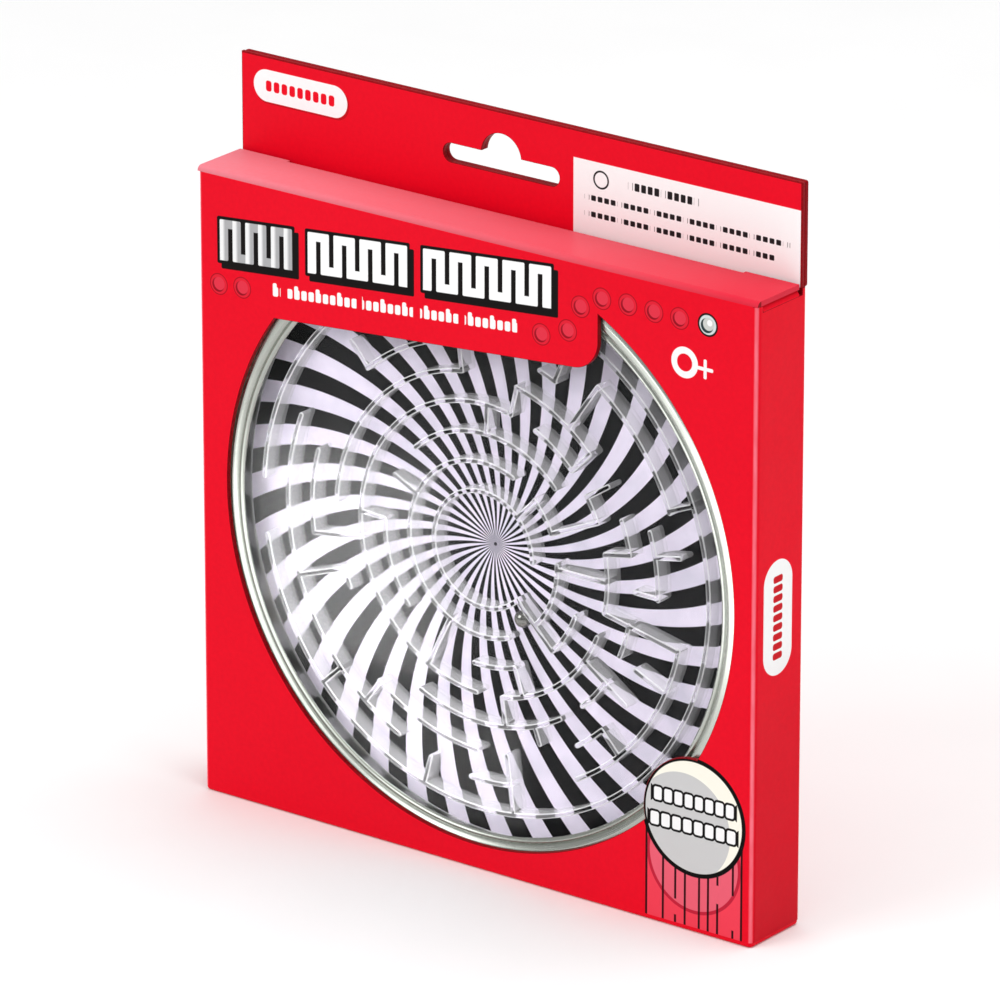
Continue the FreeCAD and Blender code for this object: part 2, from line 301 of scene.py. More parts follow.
def carried(path: np.ndarray, thickness: float, low: float, high: np.ndarray, edge: float) -> Shell:
    """A strip of board that follows a folded line in plan: a closed cross-section carried along it.

    Args:
        path: (x, y) points of the outside face. The board lies to the left of the line.
        thickness: the board's thickness.
        low: height of its lower edge.
        high: height of its upper edge at each point of the path.
        edge: rounding of its upper edge.

    Returns:
        The closed shell.
    """
    step = np.diff(path, axis=0)
    step /= np.linalg.norm(step, axis=1, keepdims=True)
    left = np.stack([-step[:, 1], step[:, 0]], -1)
    before, after = np.concatenate([left[:1], left]), np.concatenate([left, left[-1:]])
    miter = (before + after) / (1 + (before * after).sum(1, keepdims=True))
    section = edge_profile(0, thickness, edge, edge)
    depth = np.concatenate([[0.0], section[:, 0], [thickness]])
    drop = np.concatenate([[np.nan], section[:, 1], [np.nan]])
    xy = path[:, None] + miter[:, None] * depth[None, :, None]
    z = np.where(np.isnan(drop)[None], low, high[:, None] - np.nan_to_num(drop)[None])
    rings = np.concatenate([xy, z[..., None]], -1)
    shell = Shell.of_rings(rings, [Skin.CUT] * (len(path) - 1))
    count = rings.shape[1]
    row = np.full(count, Skin.CUT.value)
    row[0], row[count - 2] = Skin.OUTSIDE.value, Skin.INSIDE.value
    shell.skins = np.tile(row, len(path) - 1).tolist() + [Skin.CUT.value] * 2
    return shell


# ------------------------------------------------------------------ pieces
def clean(mesh: Mesh, near: float = 1e-7, drop_thin: bool = True) -> None:
    """Merges points nearer than near, drops faces with no area and points every face outwards."""
    work = bmesh.new()
    work.from_mesh(mesh)
    bmesh.ops.remove_doubles(work, verts=work.verts, dist=near)
    if drop_thin:
        bmesh.ops.dissolve_degenerate(work, edges=work.edges, dist=near)
    bmesh.ops.recalc_face_normals(work, faces=work.faces)
    work.to_mesh(mesh)
    work.free()


def smooth_below(mesh: Mesh, degrees: float) -> None:
    """Shades the mesh smooth, with an edge sharp where its two faces meet at more than degrees."""
    mesh.polygons.foreach_set("use_smooth", np.ones(len(mesh.polygons), bool))
    mesh.set_sharp_from_angle(angle=math.radians(degrees))
    mesh.update()


def keep_flat_faces_flat(piece: Object) -> None:
    """Weights the shading by face area, so that a large flat face beside a rounding stays flat."""
    weigh = piece.modifiers.new("flat_faces", "WEIGHTED_NORMAL")
    weigh.keep_sharp = True
    weigh.weight = 100


@dataclass
class Workbench:
    """Makes the finished pieces and keeps the names of those it made."""
    made: list[str] = field(default_factory=list)

    def piece(self, name: str, shell: Shell, materials: Sequence[Material], slot: Slot,
              stands_for: Sequence[str], body: Body | None = None, sharp: float = 35.0) -> Object:
        """Writes a shell into a new object.

        Args:
            name: the piece's name.
            shell: its points and faces.
            materials: one material per skin, or a single one.
            slot: the record's material slot; not used.
            stands_for: the CAD nodes it replaces.
            body: the body it rides on, or None for a piece on no body.
            sharp: the angle above which an edge is shaded sharp.

        Returns:
            The object.
        """
        mesh = bpy.data.meshes.new(name)
        mesh.from_pydata((shell.points * MM).tolist(), [], shell.faces)
        if len(materials) > 1:
            mesh.polygons.foreach_set("material_index", np.array(shell.skins, np.int32))
        clean(mesh)
        smooth_below(mesh, sharp)
        for material in materials:
            mesh.materials.append(material)
        piece = bpy.data.objects.new(name, mesh)
        bpy.context.scene.collection.objects.link(piece)
        keep_flat_faces_flat(piece)
        self.declare(piece, stands_for, body)
        return piece

    def declare(self, piece: Object, stands_for: Sequence[str],
                body: Body | None) -> None:
        """Gives a piece its body and the CAD nodes it stands for."""
        if body is not None:
            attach(piece, body.value)
        if stands_for:
            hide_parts(*stands_for)
        self.made.append(piece.name)
        log.info("%s: %d faces, stands for %s", piece.name, len(piece.data.polygons), ", ".join(stands_for))

    def dress(self, node: str, material: Material) -> None:
        """Gives a carried-over CAD node a better material."""
        node_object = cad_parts[node]
        node_object.data.materials.clear()
        node_object.data.materials.append(material)
        log.info("%s keeps its CAD shape", node)


# ------------------------------------------------------------------ shader maths
class Num:
    """A number that varies over a surface: a socket with the usual operators."""

    def __init__(self, graph: "Graph", socket: Socket) -> None:
        """Wraps a socket of a graph."""
        self.graph, self.socket = graph, socket

    def math(self, operation: str, *others: "Num | float") -> "Num":
        """A Math node on this number and others."""
        return Num(self.graph, self.graph.node("ShaderNodeMath", {"operation": operation},
                                               [self, *others]).outputs[0])

    def __add__(self, other: "Num | float") -> "Num":
        """Sum."""
        return self.math("ADD", other)

    __radd__ = __add__

    def __sub__(self, other: "Num | float") -> "Num":
        """Difference."""
        return self.math("SUBTRACT", other)

    def __rsub__(self, other: float) -> "Num":
        """Difference from a plain number."""
        return (self * -1.0).math("ADD", other)

    def __mul__(self, other: "Num | float") -> "Num":
        """Product."""
        return self.math("MULTIPLY", other)

    __rmul__ = __mul__

    def __truediv__(self, other: "Num | float") -> "Num":
        """Quotient."""
        return self.math("DIVIDE", other)

    def __mod__(self, other: float) -> "Num":
        """Remainder that stays positive."""
        return self.math("FLOORED_MODULO", other)

    def __abs__(self) -> "Num":
        """Absolute value."""
        return self.math("ABSOLUTE")

    def low(self, other: "Num | float") -> "Num":
        """The lower of two."""
        return self.math("MINIMUM", other)

    def high(self, other: "Num | float") -> "Num":
        """The higher of two."""
        return self.math("MAXIMUM", other)

    def above(self, limit: float) -> "Num":
        """One above the limit, else nought."""
        return self.math("GREATER_THAN", limit)

    def ramp(self, start: float, end: float, low: float = 0.0, high: float = 1.0) -> "Num":
        """A straight change from low at start to high at end, held beyond both."""
        return Num(self.graph, self.graph.node("ShaderNodeMapRange", {"clamp": True},
                                               {0: self, 1: start, 2: end, 3: low, 4: high}).outputs[0])


class Place(NamedTuple):
    """A point's x, y and z in millimetres, and the same as a vector."""
    x: Num
    y: Num
    z: Num
    vector: Socket


Rgb = tuple[float, float, float]


def srgb(red: int, green: int, blue: int) -> Rgb:
    """A colour from its eight-bit values as light intensities."""
    return tuple(c / 12.92 if c <= 0.04045 else ((c + 0.055) / 1.055) ** 2.4
                 for c in (red / 255, green / 255, blue / 255))


class Graph:
    """A material's node tree with one way to add any node."""

    def __init__(self, name: str) -> None:
        """Starts a material with an empty tree."""
        self.material = bpy.data.materials.new(name)
        self.material.use_nodes = True
        self.tree = self.material.node_tree
        self.tree.nodes.clear()

    def node(self, kind: str, settings: dict | None = None,
             values: dict | Sequence | None = None) -> Node:
        """Adds a node: its settings first, then the values or links of its sockets.

        Args:
            kind: the node's type.
            settings: attributes of the node.
            values: sockets by name or index, or a list in order. Each is a number, a colour, a
                vector, a socket or a Num.

        Returns:
            The node.
        """
        node = self.tree.nodes.new(kind)
        for key, value in (settings or {}).items():
            setattr(node, key, value)
        pairs = values.items() if isinstance(values, dict) else enumerate(values or [])
        for key, value in pairs:
            socket = node.inputs[key]
            if isinstance(value, Num):
                value = value.socket
            if isinstance(value, Socket):
                self.tree.links.new(value, socket)
            elif socket.type == "RGBA" and len(value) == 3:
                socket.default_value = (*value, 1.0)
            else:
                socket.default_value = value
        return node

    def place(self) -> Place:
        """The point of the surface that is being coloured."""
        coordinates = self.node("ShaderNodeTexCoord").outputs["Object"]
        scaled = self.node("ShaderNodeVectorMath", {"operation": "SCALE"}, {0: coordinates, "Scale": 1 / MM})
        split = self.node("ShaderNodeSeparateXYZ", None, [scaled.outputs[0]])
        return Place(*(Num(self, s) for s in split.outputs), scaled.outputs[0])

    def noise(self, vector: Socket, scale: float, detail: float = 2.0,
              stretch: tuple[float, float, float] = (1.0, 1.0, 1.0)) -> Num:
        """Soft noise from nought to one, with a grain of 1/scale millimetres times the stretch."""
        scales = tuple(1 / s for s in stretch)
        mapped = self.node("ShaderNodeMapping", None, {"Vector": vector, "Scale": scales}).outputs[0]
        values = {"Vector": mapped, "Scale": scale, "Detail": detail}
        return Num(self, self.node("ShaderNodeTexNoise", None, values).outputs[0])

    def blend(self, mask: Num, under: "Rgb | Socket",
              over: "Rgb | Socket") -> Socket:
        """A colour laid over another where the mask is one."""
        mixed = self.node("ShaderNodeMix", {"data_type": "RGBA"}, {"Factor": mask, 6: under, 7: over})
        return mixed.outputs[2]

    def bump(self, height: Num, distance: float) -> Socket:
        """A normal from a height of nought to one times distance in millimetres."""
        return self.node("ShaderNodeBump", None, {"Height": height, "Distance": distance * MM,
                                                  "Strength": 1.0}).outputs[0]

    def surface(self, values: dict) -> Node:
        """A Principled surface from its sockets."""
        return self.node("ShaderNodeBsdfPrincipled", None, values)

    def finish(self, shader: Node) -> Material:
        """Ends the tree in a surface and hands over the material."""
        self.node("ShaderNodeOutputMaterial", None, {"Surface": shader.outputs[0]})
        return self.material


@dataclass
class Ink:
    """Flat shapes of ink on a plane, as distances in millimetres that are negative inside."""
    graph: Graph
    u: Num
    v: Num
    plane_vector: Socket

    def spot(self, u: float, v: float, radius: float) -> Num:
        """A disc."""
        far = self.graph.node("ShaderNodeVectorMath", {"operation": "DISTANCE"},
                              [self.plane_vector, (u, v, 0.0)])
        return Num(self.graph, far.outputs["Value"]) - radius

    def bar(self, u0: float, u1: float, v0: float, v1: float, corner: float = 0.0,
            u: Num | None = None, v: Num | None = None) -> Num:
        """A rectangle between two corners, with round corners if asked."""
        du = abs((self.u if u is None else u) - (u0 + u1) / 2) - ((u1 - u0) / 2 - corner)
        dv = abs((self.v if v is None else v) - (v0 + v1) / 2) - ((v1 - v0) / 2 - corner)
        if not corner:
            return du.high(dv)
        far = (du.high(0.0) * du.high(0.0) + dv.high(0.0) * dv.high(0.0)).math("SQRT")
        return far + du.high(dv).low(0.0) - corner

    def over(self, colour: Socket, *layers: "tuple[Num, Rgb]") -> Socket:
        """A colour with inked shapes laid on it in turn, each with its own tint."""
        for shape, tint in layers:
            colour = self.graph.blend(self.laid(shape), colour, tint)
        return colour

    @staticmethod
    def laid(distance: Num, soft: float = 0.07) -> Num:
        """Where the shape is inked, with an edge as soft as print has."""
        return distance.ramp(-soft, soft, 1.0, 0.0)


# ------------------------------------------------------------------ finishes
@dataclass(frozen=True)
class BoardPaper:
    """What every face of the board has: fibre in its bump and a faintly uneven sheen."""
    fibre: float = 1.6
    depth: float = 0.012
    gloss: float = 0.42
    sheen_spread: float = 0.10
    specular: float = 0.06

    def surface(self, graph: Graph, colour: "Rgb | Socket",
                vector: Socket) -> Material:
        """A board surface of that colour."""
        fibre = graph.noise(vector, self.fibre, 6.0)
        broad = graph.noise(vector, 0.06, 2.0)
        rough = broad.ramp(0.3, 0.7, self.gloss - self.sheen_spread / 2, self.gloss + self.sheen_spread / 2)
        return graph.finish(graph.surface({
            "Base Color": colour, "Roughness": rough, "Specular IOR Level": self.specular,
            "Normal": graph.bump(fibre + broad * 3.0, self.depth)}))


PAPER = BoardPaper()
RED = srgb(239, 6, 36)
CREASE_HIGHLIGHT = srgb(255, 120, 136)
WHITE = srgb(250, 250, 250)
BLACK = srgb(18, 14, 14)


@dataclass(frozen=True)
class RedPrint:
    """Printed board, red all over, with mottled ink, and the pale colour of the painted highlights along the
    creases.
    """
    name: str = "red_print"
    red: Rgb = RED
    # Painted highlight colour for the pale band along each front crease.
    crease: Rgb = CREASE_HIGHLIGHT

    def ground(self, graph: Graph, vector: Socket) -> Socket:
        """The red ground with the slight unevenness of printed ink."""
        mottle = graph.noise(vector, 0.9, 4.0)
        broad = graph.noise(vector, 0.03, 1.0)
        darker = tuple(c * 0.93 for c in self.red)
        return graph.blend((mottle * 0.6 + broad * 0.4).ramp(0.35, 0.65), darker, self.red)

    def decorate(self, graph: Graph, at: Place, ground: Socket) -> Socket:
        """Adds the panel's own print to the ground. Plain board adds none."""
        return ground

    def material(self) -> Material:
        """The finished material."""
        graph = Graph(self.name)
        at = graph.place()
        colour = self.decorate(graph, at, self.ground(graph, at.vector))
        return PAPER.surface(graph, colour, at.vector)


def stretch(along: Num, start: float, end: float) -> Num:
    """The part of a line between two places."""
    return abs(along - (start + end) / 2) - (end - start) / 2


def together(shapes: Iterable[Num]) -> Num:
    """Several shapes as one: the lowest of their distances."""
    return functools.reduce(Num.low, shapes)


def on_plane(graph: Graph, u: Num, v: Num) -> Ink:
    """Ink on a plane with those two directions."""
    flat = graph.node("ShaderNodeCombineXYZ", None, {0: u, 1: v, 2: 0.0})
    return Ink(graph, u, v, flat.outputs[0])


@dataclass(frozen=True)
class FrontPrint(RedPrint):
    """The front panel's print: a meander band for a title, a bead line, a trail of dimples, a round
    badge over a barred field. Places are millimetres from the panel's middle line and foot."""
    name: str = "front_print"
    title_slope: float = 0.0865
    title_foot: tuple[float, float] = (-69.9, 127.3)
    title_height: float = 9.5
    meander: float = 3.6
    stroke: float = 2.35
    word_gap: float = 3.1
    words: tuple[int, int, int] = (6, 8, 10)
    dimples: tuple[tuple[float, float], ...] = (
        (-70.3, 121.6), (-63.7, 122.1), (18.8, 128.8), (25.9, 131.2), (29.3, 137.3),
        (35.0, 140.3), (41.9, 140.4), (48.8, 140.3), (55.6, 140.2))
    last_dimple: tuple[float, float] = (63.0, 140.3)
    dimple_r: float = 2.5
    dimple_layers: tuple[tuple[float, float, Rgb], ...] = (
        (0.0, 0.0, srgb(168, 6, 26)), (0.0, -0.22, srgb(226, 32, 52)),
        (-0.18, -0.85, srgb(150, 10, 30)), (0.12, -1.0, srgb(228, 52, 72)))
    last_layers: tuple[tuple[float, float, Rgb], ...] = (
        (0.0, 0.15, BLACK), (0.0, -0.3, srgb(214, 222, 222)), (-0.2, -0.85, srgb(40, 60, 62)),
        (0.18, -1.05, srgb(206, 208, 204)), (0.5, -1.8, srgb(250, 250, 250)))
    bead_lengths: tuple[tuple[float, float], ...] = (
        (0.0, 2.4), (4.4, 23.6), (25.2, 39.2), (41.2, 51.6), (53.4, 67.6))
    badge: tuple[float, float] = (60.3, 26.9)
    badge_r: float = 13.9
    badge_line: float = 1.05
    field: tuple[float, float] = (47.7, 73.2)
    bars: tuple[tuple[float, float, float], ...] = (
        (47.7, 0.0, 30.0), (52.2, 0.0, 30.0), (55.5, 6.7, 30.0), (55.5, 0.0, 3.0), (58.1, 0.0, 30.0),
        (61.9, 0.0, 30.0), (64.3, 0.0, 30.0), (66.8, 12.6, 30.0), (66.8, 0.0, 8.3),
        (70.9, 11.2, 30.0), (70.9, 0.0, 3.1), (73.2, 0.0, 30.0))

    def decorate(self, graph: Graph, at: Place, ground: Socket) -> Socket:
        """Lays the print on the ground, layer by layer."""
        ink = on_plane(graph, at.x, at.z)
        colour = self.barred_field(graph, ink, ground)
        colour = self.round_badge(ink, colour)
        colour = self.trail(ink, colour)
        colour = self.title(graph, ink, colour)
        colour = self.bead_line(ink, colour)
        return self.ring_and_cross(ink, colour)

    def barred_field(self, graph: Graph, ink: Ink, colour: Socket) -> Socket:
        """The rose field under the badge, with a darker bow and upright black lines."""
        left, right = self.field
        area = ink.bar(left, right, 0.3, 27.0)
        colour = ink.over(colour, (area, srgb(244, 66, 86)))
        bow = ink.spot(self.badge[0] + 0.1, 17.0, 12.2)
        colour = ink.over(colour, (bow.high(area), srgb(238, 98, 118)))
        colour = graph.blend(ink.laid((abs(bow) - 0.4).high(area)), colour, srgb(196, 34, 58))
        lines = together(ink.bar(at - 0.28, at + 0.28, low, top) for at, low, top in self.bars)
        return ink.over(colour, (lines, srgb(40, 8, 12)))

    def round_badge(self, ink: Ink, colour: Socket) -> Socket:
        """A grey disc with a cream crescent, a black line round it and two rows of blocks."""
        u, v = self.badge
        colour = ink.over(colour, (ink.spot(u, v, self.badge_r), srgb(8, 6, 6)))
        face = ink.spot(u, v, self.badge_r - self.badge_line)
        colour = ink.over(colour, (face, srgb(253, 250, 236)))
        shade = ink.spot(u - 2.6, v - 2.6, self.badge_r - self.badge_line - 0.5).high(face)
        colour = ink.over(colour, (shade, srgb(206, 206, 206)))
        for row_u, row_v, width in ((u, v + 3.3, 22.0), (u - 0.2, v - 2.6, 23.4)):
            along = ink.u - (row_u - width / 2)
            rise = ink.v - row_v - along * 0.02
            cell = along % (width / 8)
            inside = abs(along - width / 2) - width / 2
            block = ink.bar(0.35, width / 8 - 0.35, -1.5, 1.5, 0.5, u=cell, v=rise).high(inside)
            colour = ink.over(colour, (block - 0.55, srgb(14, 10, 10)))
            colour = ink.over(colour, (block, WHITE))
        return colour

    def trail(self, ink: Ink, colour: Socket) -> Socket:
        """Round dimples in a row, drawn with a dark ring and a lit side, the last one silver."""
        for middles, layers in ((self.dimples, self.dimple_layers), ([self.last_dimple], self.last_layers)):
            for shift, grow, tint in layers:
                discs = together(ink.spot(u + shift, v + shift, self.dimple_r + grow) for u, v in middles)
                colour = ink.over(colour, (discs, tint))
        return colour

    def title(self, graph: Graph, ink: Ink, colour: Socket) -> Socket:
        """A square meander in three lengths, white on a black ground with a drop shadow.

        Along the band the stroke runs up, across, down and across again. The first length is
        silver and the others white.
        """
        start, foot = self.title_foot
        along = ink.u - start
        rise = ink.v - foot - along * self.title_slope
        ends, at = [], 0.0
        for bars in self.words:
            ends.append((at, at + bars * self.meander - (self.meander - self.stroke)))
            at += bars * self.meander + self.word_gap
        plates = []
        for a, b in ends:
            plates.append(ink.bar(a - 0.75, b + 0.75, -0.75, self.title_height + 0.75, 0.5, u=along, v=rise))
            plates.append(ink.bar(a + 0.4, b + 1.9, -1.9, self.title_height - 0.6, 0.4, u=along, v=rise))
        colour = ink.over(colour, (together(plates), BLACK))
        second = along.above(ends[1][0] - self.word_gap / 2) * self.word_gap
        third = along.above(ends[2][0] - self.word_gap / 2) * self.word_gap
        run = along - second - third
        cell, pair = run % self.meander, run % (2 * self.meander)
        upright = ink.bar(0.0, self.stroke, 0.0, self.title_height, 0.35, u=cell, v=rise)
        across = self.meander + self.stroke - 0.3
        top = ink.bar(0.3, across, self.title_height - 2.0, self.title_height, 0.35, u=pair, v=rise)
        shifted = (run + self.meander) % (2 * self.meander)
        foot_bar = ink.bar(0.3, across, 0.0, 2.0, 0.35, u=shifted, v=rise)
        inside = together(stretch(along, a, b) for a, b in ends)
        stroke = upright.low(top).low(foot_bar).high(inside)
        fold = cell.ramp(self.stroke * 0.35, self.stroke * 0.65)
        silver = graph.blend(fold, srgb(244, 244, 244), srgb(176, 176, 178))
        lead = along.above(ends[1][0] - self.word_gap / 2)
        return graph.blend(ink.laid(stroke), colour, graph.blend(lead, silver, srgb(255, 255, 255)))

    def bead_line(self, ink: Ink, colour: Socket) -> Socket:
        """A line of small white beads in five lengths, under the title."""
        along = ink.u + 55.3
        rise = ink.v - 123.0 - along * self.title_slope
        lengths = together(stretch(along, a, b) for a, b in self.bead_lengths)
        bead = ink.bar(0.25, 1.75, -1.05, 1.15, 0.45, u=along % 2.0, v=rise)
        tall = ink.bar(0.25, 1.35, -1.05, 2.0, 0.4, u=along % 6.0, v=rise)
        return ink.over(colour, (bead.low(tall).high(lengths), WHITE))

    def ring_and_cross(self, ink: Ink, colour: Socket) -> Socket:
        """A small white ring with a little cross beside it."""
        ring = abs(ink.spot(57.0, 130.6, 2.75)) - 0.75
        upright, level = ink.bar(62.0, 62.8, 128.0, 132.4, 0.3), ink.bar(60.3, 64.5, 129.8, 130.6, 0.3)
        return ink.over(colour, (ring.low(upright).low(level), WHITE))


@dataclass(frozen=True)
class HeaderPrint(RedPrint):
    """The header: a white pill at its left and a white note panel at its right."""
    name: str = "header_print"
    pill: tuple[float, float, float, float] = (-72.5, -46.3, 160.1, 167.5)
    note_left: float = 15.6
    note_top: float = 164.2

    def decorate(self, graph: Graph, at: Place, ground: Socket) -> Socket:
        """Lays the pill and the note panel on the ground."""
        ink = on_plane(graph, at.x, at.z)
        left, right, low, top = self.pill
        round_end = (top - low) / 2
        shadow = ink.bar(left + 0.3, right + 0.5, low - 0.45, top - 0.3, round_end - 0.1)
        colour = graph.blend(ink.laid(shadow), ground, srgb(196, 8, 26))
        pill = ink.bar(left, right, low, top, round_end)
        colour = ink.over(colour, (pill, srgb(255, 255, 255)))
        along = ink.u - (left + 3.1)
        row = abs(along - 9.9) - 9.9
        bead = ink.bar(0.3, 1.9, -1.25, 1.25, 0.6, u=along % 2.2, v=ink.v - (low + top) / 2)
        colour = ink.over(colour, (bead.high(row), RED))
        panel = ink.bar(self.note_left, 80.0, 140.0, self.note_top)
        colour = ink.over(colour, (panel, srgb(253, 253, 253)))
        lines = abs(ink.spot(23.0, 160.4, 1.9)) - 0.22
        for a, b, v, half in ((30.0, 49.0, 160.6, 0.9), (18.4, 73.0, 155.9, 0.62), (18.4, 69.0, 152.2, 0.62)):
            word = ink.bar(0.2, 1.5, -half, half, 0.25, u=(ink.u - a) % 1.75, v=ink.v - v)
            breaks = 0.55 - abs((ink.u - a) % 8.75 - 0.8)
            lines = lines.low(word.high(stretch(ink.u, a, b)).high(breaks))
        return ink.over(colour, (lines, srgb(34, 30, 32)))


@dataclass(frozen=True)
class SleevePrint(RedPrint):
    """The wrapped sides and back: painted highlights along the front creases, a pill on the right side,
    painted shade darkening the right side towards the bottom, a plain back field.
    """
    name: str = "sleeve_print"
    side_x: float = 76.0
    front_y: float = -9.05
    pill_mid: tuple[float, float] = (-0.6, 74.4)
    pill_half: tuple[float, float] = (5.2, 13.2)

    def decorate(self, graph: Graph, at: Place, ground: Socket) -> Socket:
        """Lays the painted crease highlights, the side pill, the painted shade on the right side and the
        back's plain field on the ground.
        """
        x, y, z, vector = at
        # Painted highlight: a pale band along each front upright crease, broken into streaks by stretched
        # noise.
        highlight_streaks = graph.noise(vector, 0.8, 3.0, (1.0, 1.0, 6.0)).ramp(0.2, 0.6, 0.55, 1.0)
        crease = (abs(abs(x) - (self.side_x - 0.45)) - 0.38).high(y - (self.front_y + 0.62))
        colour = graph.blend(Ink.laid(crease, 0.16) * highlight_streaks, ground, self.crease)
        side = on_plane(graph, y, z)
        (u, v), (du, dv) = self.pill_mid, self.pill_half
        on_right = x.above(self.side_x - 0.1)
        pill = side.bar(u - du, u + du, v - dv, v + dv, du)
        colour = graph.blend(side.laid(pill) * on_right, colour, srgb(255, 255, 255))
        bead = side.bar(-1.7, 1.7, 0.3, 1.9, 0.6, u=side.u - u, v=(side.v - (v - 9.9)) % 2.2)
        beads = side.laid(bead.high(abs(side.v - v) - 9.9)) * on_right
        colour = graph.blend(beads, colour, srgb(206, 16, 30))
        # Painted shade: the right side darkens towards the bottom.
        shade = z.ramp(70.0, 0.0, 0.0, 0.42) * on_right
        colour = graph.blend(shade, colour, tuple(c * 0.35 for c in self.red))
        back = on_plane(graph, x, z)
        on_back = y.above(-self.front_y - 0.1)
        far = back.spot(0.0, 84.0, 0.0)
        rings = abs(far % 13.6 - 6.8) - 0.45
        rings = rings.high(far - 55.0)
        colour = graph.blend(back.laid(rings) * on_back, colour, srgb(190, 8, 30))
        note = back.bar(-60.0, 60.0, 9.0, 22.0, 2.0)
        colour = graph.blend(back.laid(note) * on_back, colour, srgb(252, 252, 252))
        rows = back.bar(0.3, 2.3, -0.5, 0.5, 0.3, u=back.u % 2.7, v=(back.v - 9.0) % 3.2 - 1.9)
        rows = rows.high(back.bar(-55.0, 55.0, 10.5, 20.5))
        return graph.blend(back.laid(rows) * on_back, colour, srgb(60, 56, 58))


@dataclass(frozen=True)
class LidPaintedLight(RedPrint):
    """The closure panel: painted light, a pale rose at the left that fades to red towards the right."""
    name: str = "lid_painted_light"
    # Painted light: the paler left end stands in for light falling on the top face.
    left: Rgb = srgb(228, 130, 142)
    right: Rgb = srgb(219, 44, 65)

    def decorate(self, graph: Graph, at: Place, ground: Socket) -> Socket:
        """Fades the painted light along the panel."""
        tint = graph.blend(at.x.ramp(-76.0, 70.0), self.left, self.right)
        return graph.blend(graph.noise(at.vector, 0.9, 4.0).ramp(0.2, 0.8, 0.0, 0.12), tint, ground)


@dataclass(frozen=True)
class ShadedCutEdge:
    """The cut edge of red board: layered fibres, in a dark red that is painted shade."""
    name: str = "shaded_cut_edge"
    # Painted shade: both reds stand in for the shade on the board's edges.
    light: Rgb = srgb(158, 12, 22)
    dark: Rgb = srgb(120, 0, 10)

    def material(self) -> Material:
        """The finished material."""
        graph = Graph(self.name)
        vector = graph.place().vector
        fibre = graph.noise(vector, 3.0, 5.0)
        return PAPER.surface(graph, graph.blend(fibre.ramp(0.35, 0.65), self.dark, self.light), vector)


@dataclass(frozen=True)
class BareBoard:
    """Unprinted board: a warm pale grey with darker and lighter fibres."""
    name: str = "bare_board"
    pale: Rgb = srgb(222, 216, 206)
    grey: Rgb = srgb(186, 178, 166)

    def material(self) -> Material:
        """The finished material."""
        graph = Graph(self.name)
        vector = graph.place().vector
        fibre = graph.noise(vector, 1.2, 7.0, (5.0, 1.0, 1.0))
        fleck = graph.noise(vector, 3.2, 2.0).ramp(0.66, 0.74)
        colour = graph.blend(fibre.ramp(0.3, 0.7), self.grey, self.pale)
        colour = graph.blend(fleck * 0.5, colour, srgb(140, 128, 112))
        return BoardPaper(depth=0.03, gloss=0.85, specular=0.2).surface(graph, colour, vector)


@dataclass(frozen=True)
class TurnedTin:
    """Bright tinplate drawn and rolled about an axis: fine scratches run round it."""
    name: str
    centre: tuple[float, float]
    tint: Rgb = srgb(176, 180, 173)
    rough: float = 0.24

    def material(self) -> Material:
        """The finished material."""
        graph = Graph(self.name)
        x, y, z, vector = graph.place()
        du, dv = x - self.centre[0], z - self.centre[1]
        radius = (du * du + dv * dv).math("SQRT")
        rings = graph.node("ShaderNodeCombineXYZ", None, {0: radius * 6.0, 1: y * 6.0, 2: 0.0}).outputs[0]
        scratch = graph.noise(rings, 1.0, 3.0)
        cloud = graph.noise(vector, 0.12, 3.0)
        colour = graph.blend(cloud.ramp(0.35, 0.7), self.tint, tuple(c * 0.86 for c in self.tint))
        rough = (scratch * 0.5 + cloud * 0.5).ramp(0.3, 0.7, self.rough - 0.06, self.rough + 0.08)
        return graph.finish(graph.surface({"Base Color": colour, "Metallic": 1.0, "Roughness": rough,
                                           "Normal": graph.bump(scratch, 0.004)}))


@dataclass(frozen=True)
class ClearPlastic:
    """Clear moulded plastic. Light passes straight through it to what lies behind."""
    name: str
    ior: float
    rough: float
    clear: float = 1.0
    sheen: float = 0.0
    tint: Rgb = (0.985, 0.985, 0.99)
    ripple: float = 0.004

    def material(self) -> Material:
        """The finished material."""
        graph = Graph(self.name)
        vector = graph.place().vector
        wave = graph.noise(vector, 0.10, 2.0)
        fine = graph.noise(vector, 2.2, 3.0)
        rough = fine.ramp(0.35, 0.75, self.rough, self.rough + 0.05)
        clear = graph.surface({"Base Color": self.tint, "Roughness": rough, "IOR": self.ior,
                               "Transmission Weight": self.clear, "Coat Weight": self.sheen,
                               "Coat Roughness": 0.22, "Normal": graph.bump(wave * 4.0 + fine, self.ripple)})
        passing = graph.node("ShaderNodeBsdfTransparent", None, {"Color": self.tint})
        shadow = graph.node("ShaderNodeLightPath").outputs["Is Shadow Ray"]
        mixed = {0: shadow, 1: clear.outputs[0], 2: passing.outputs[0]}
        return graph.finish(graph.node("ShaderNodeMixShader", None, mixed))


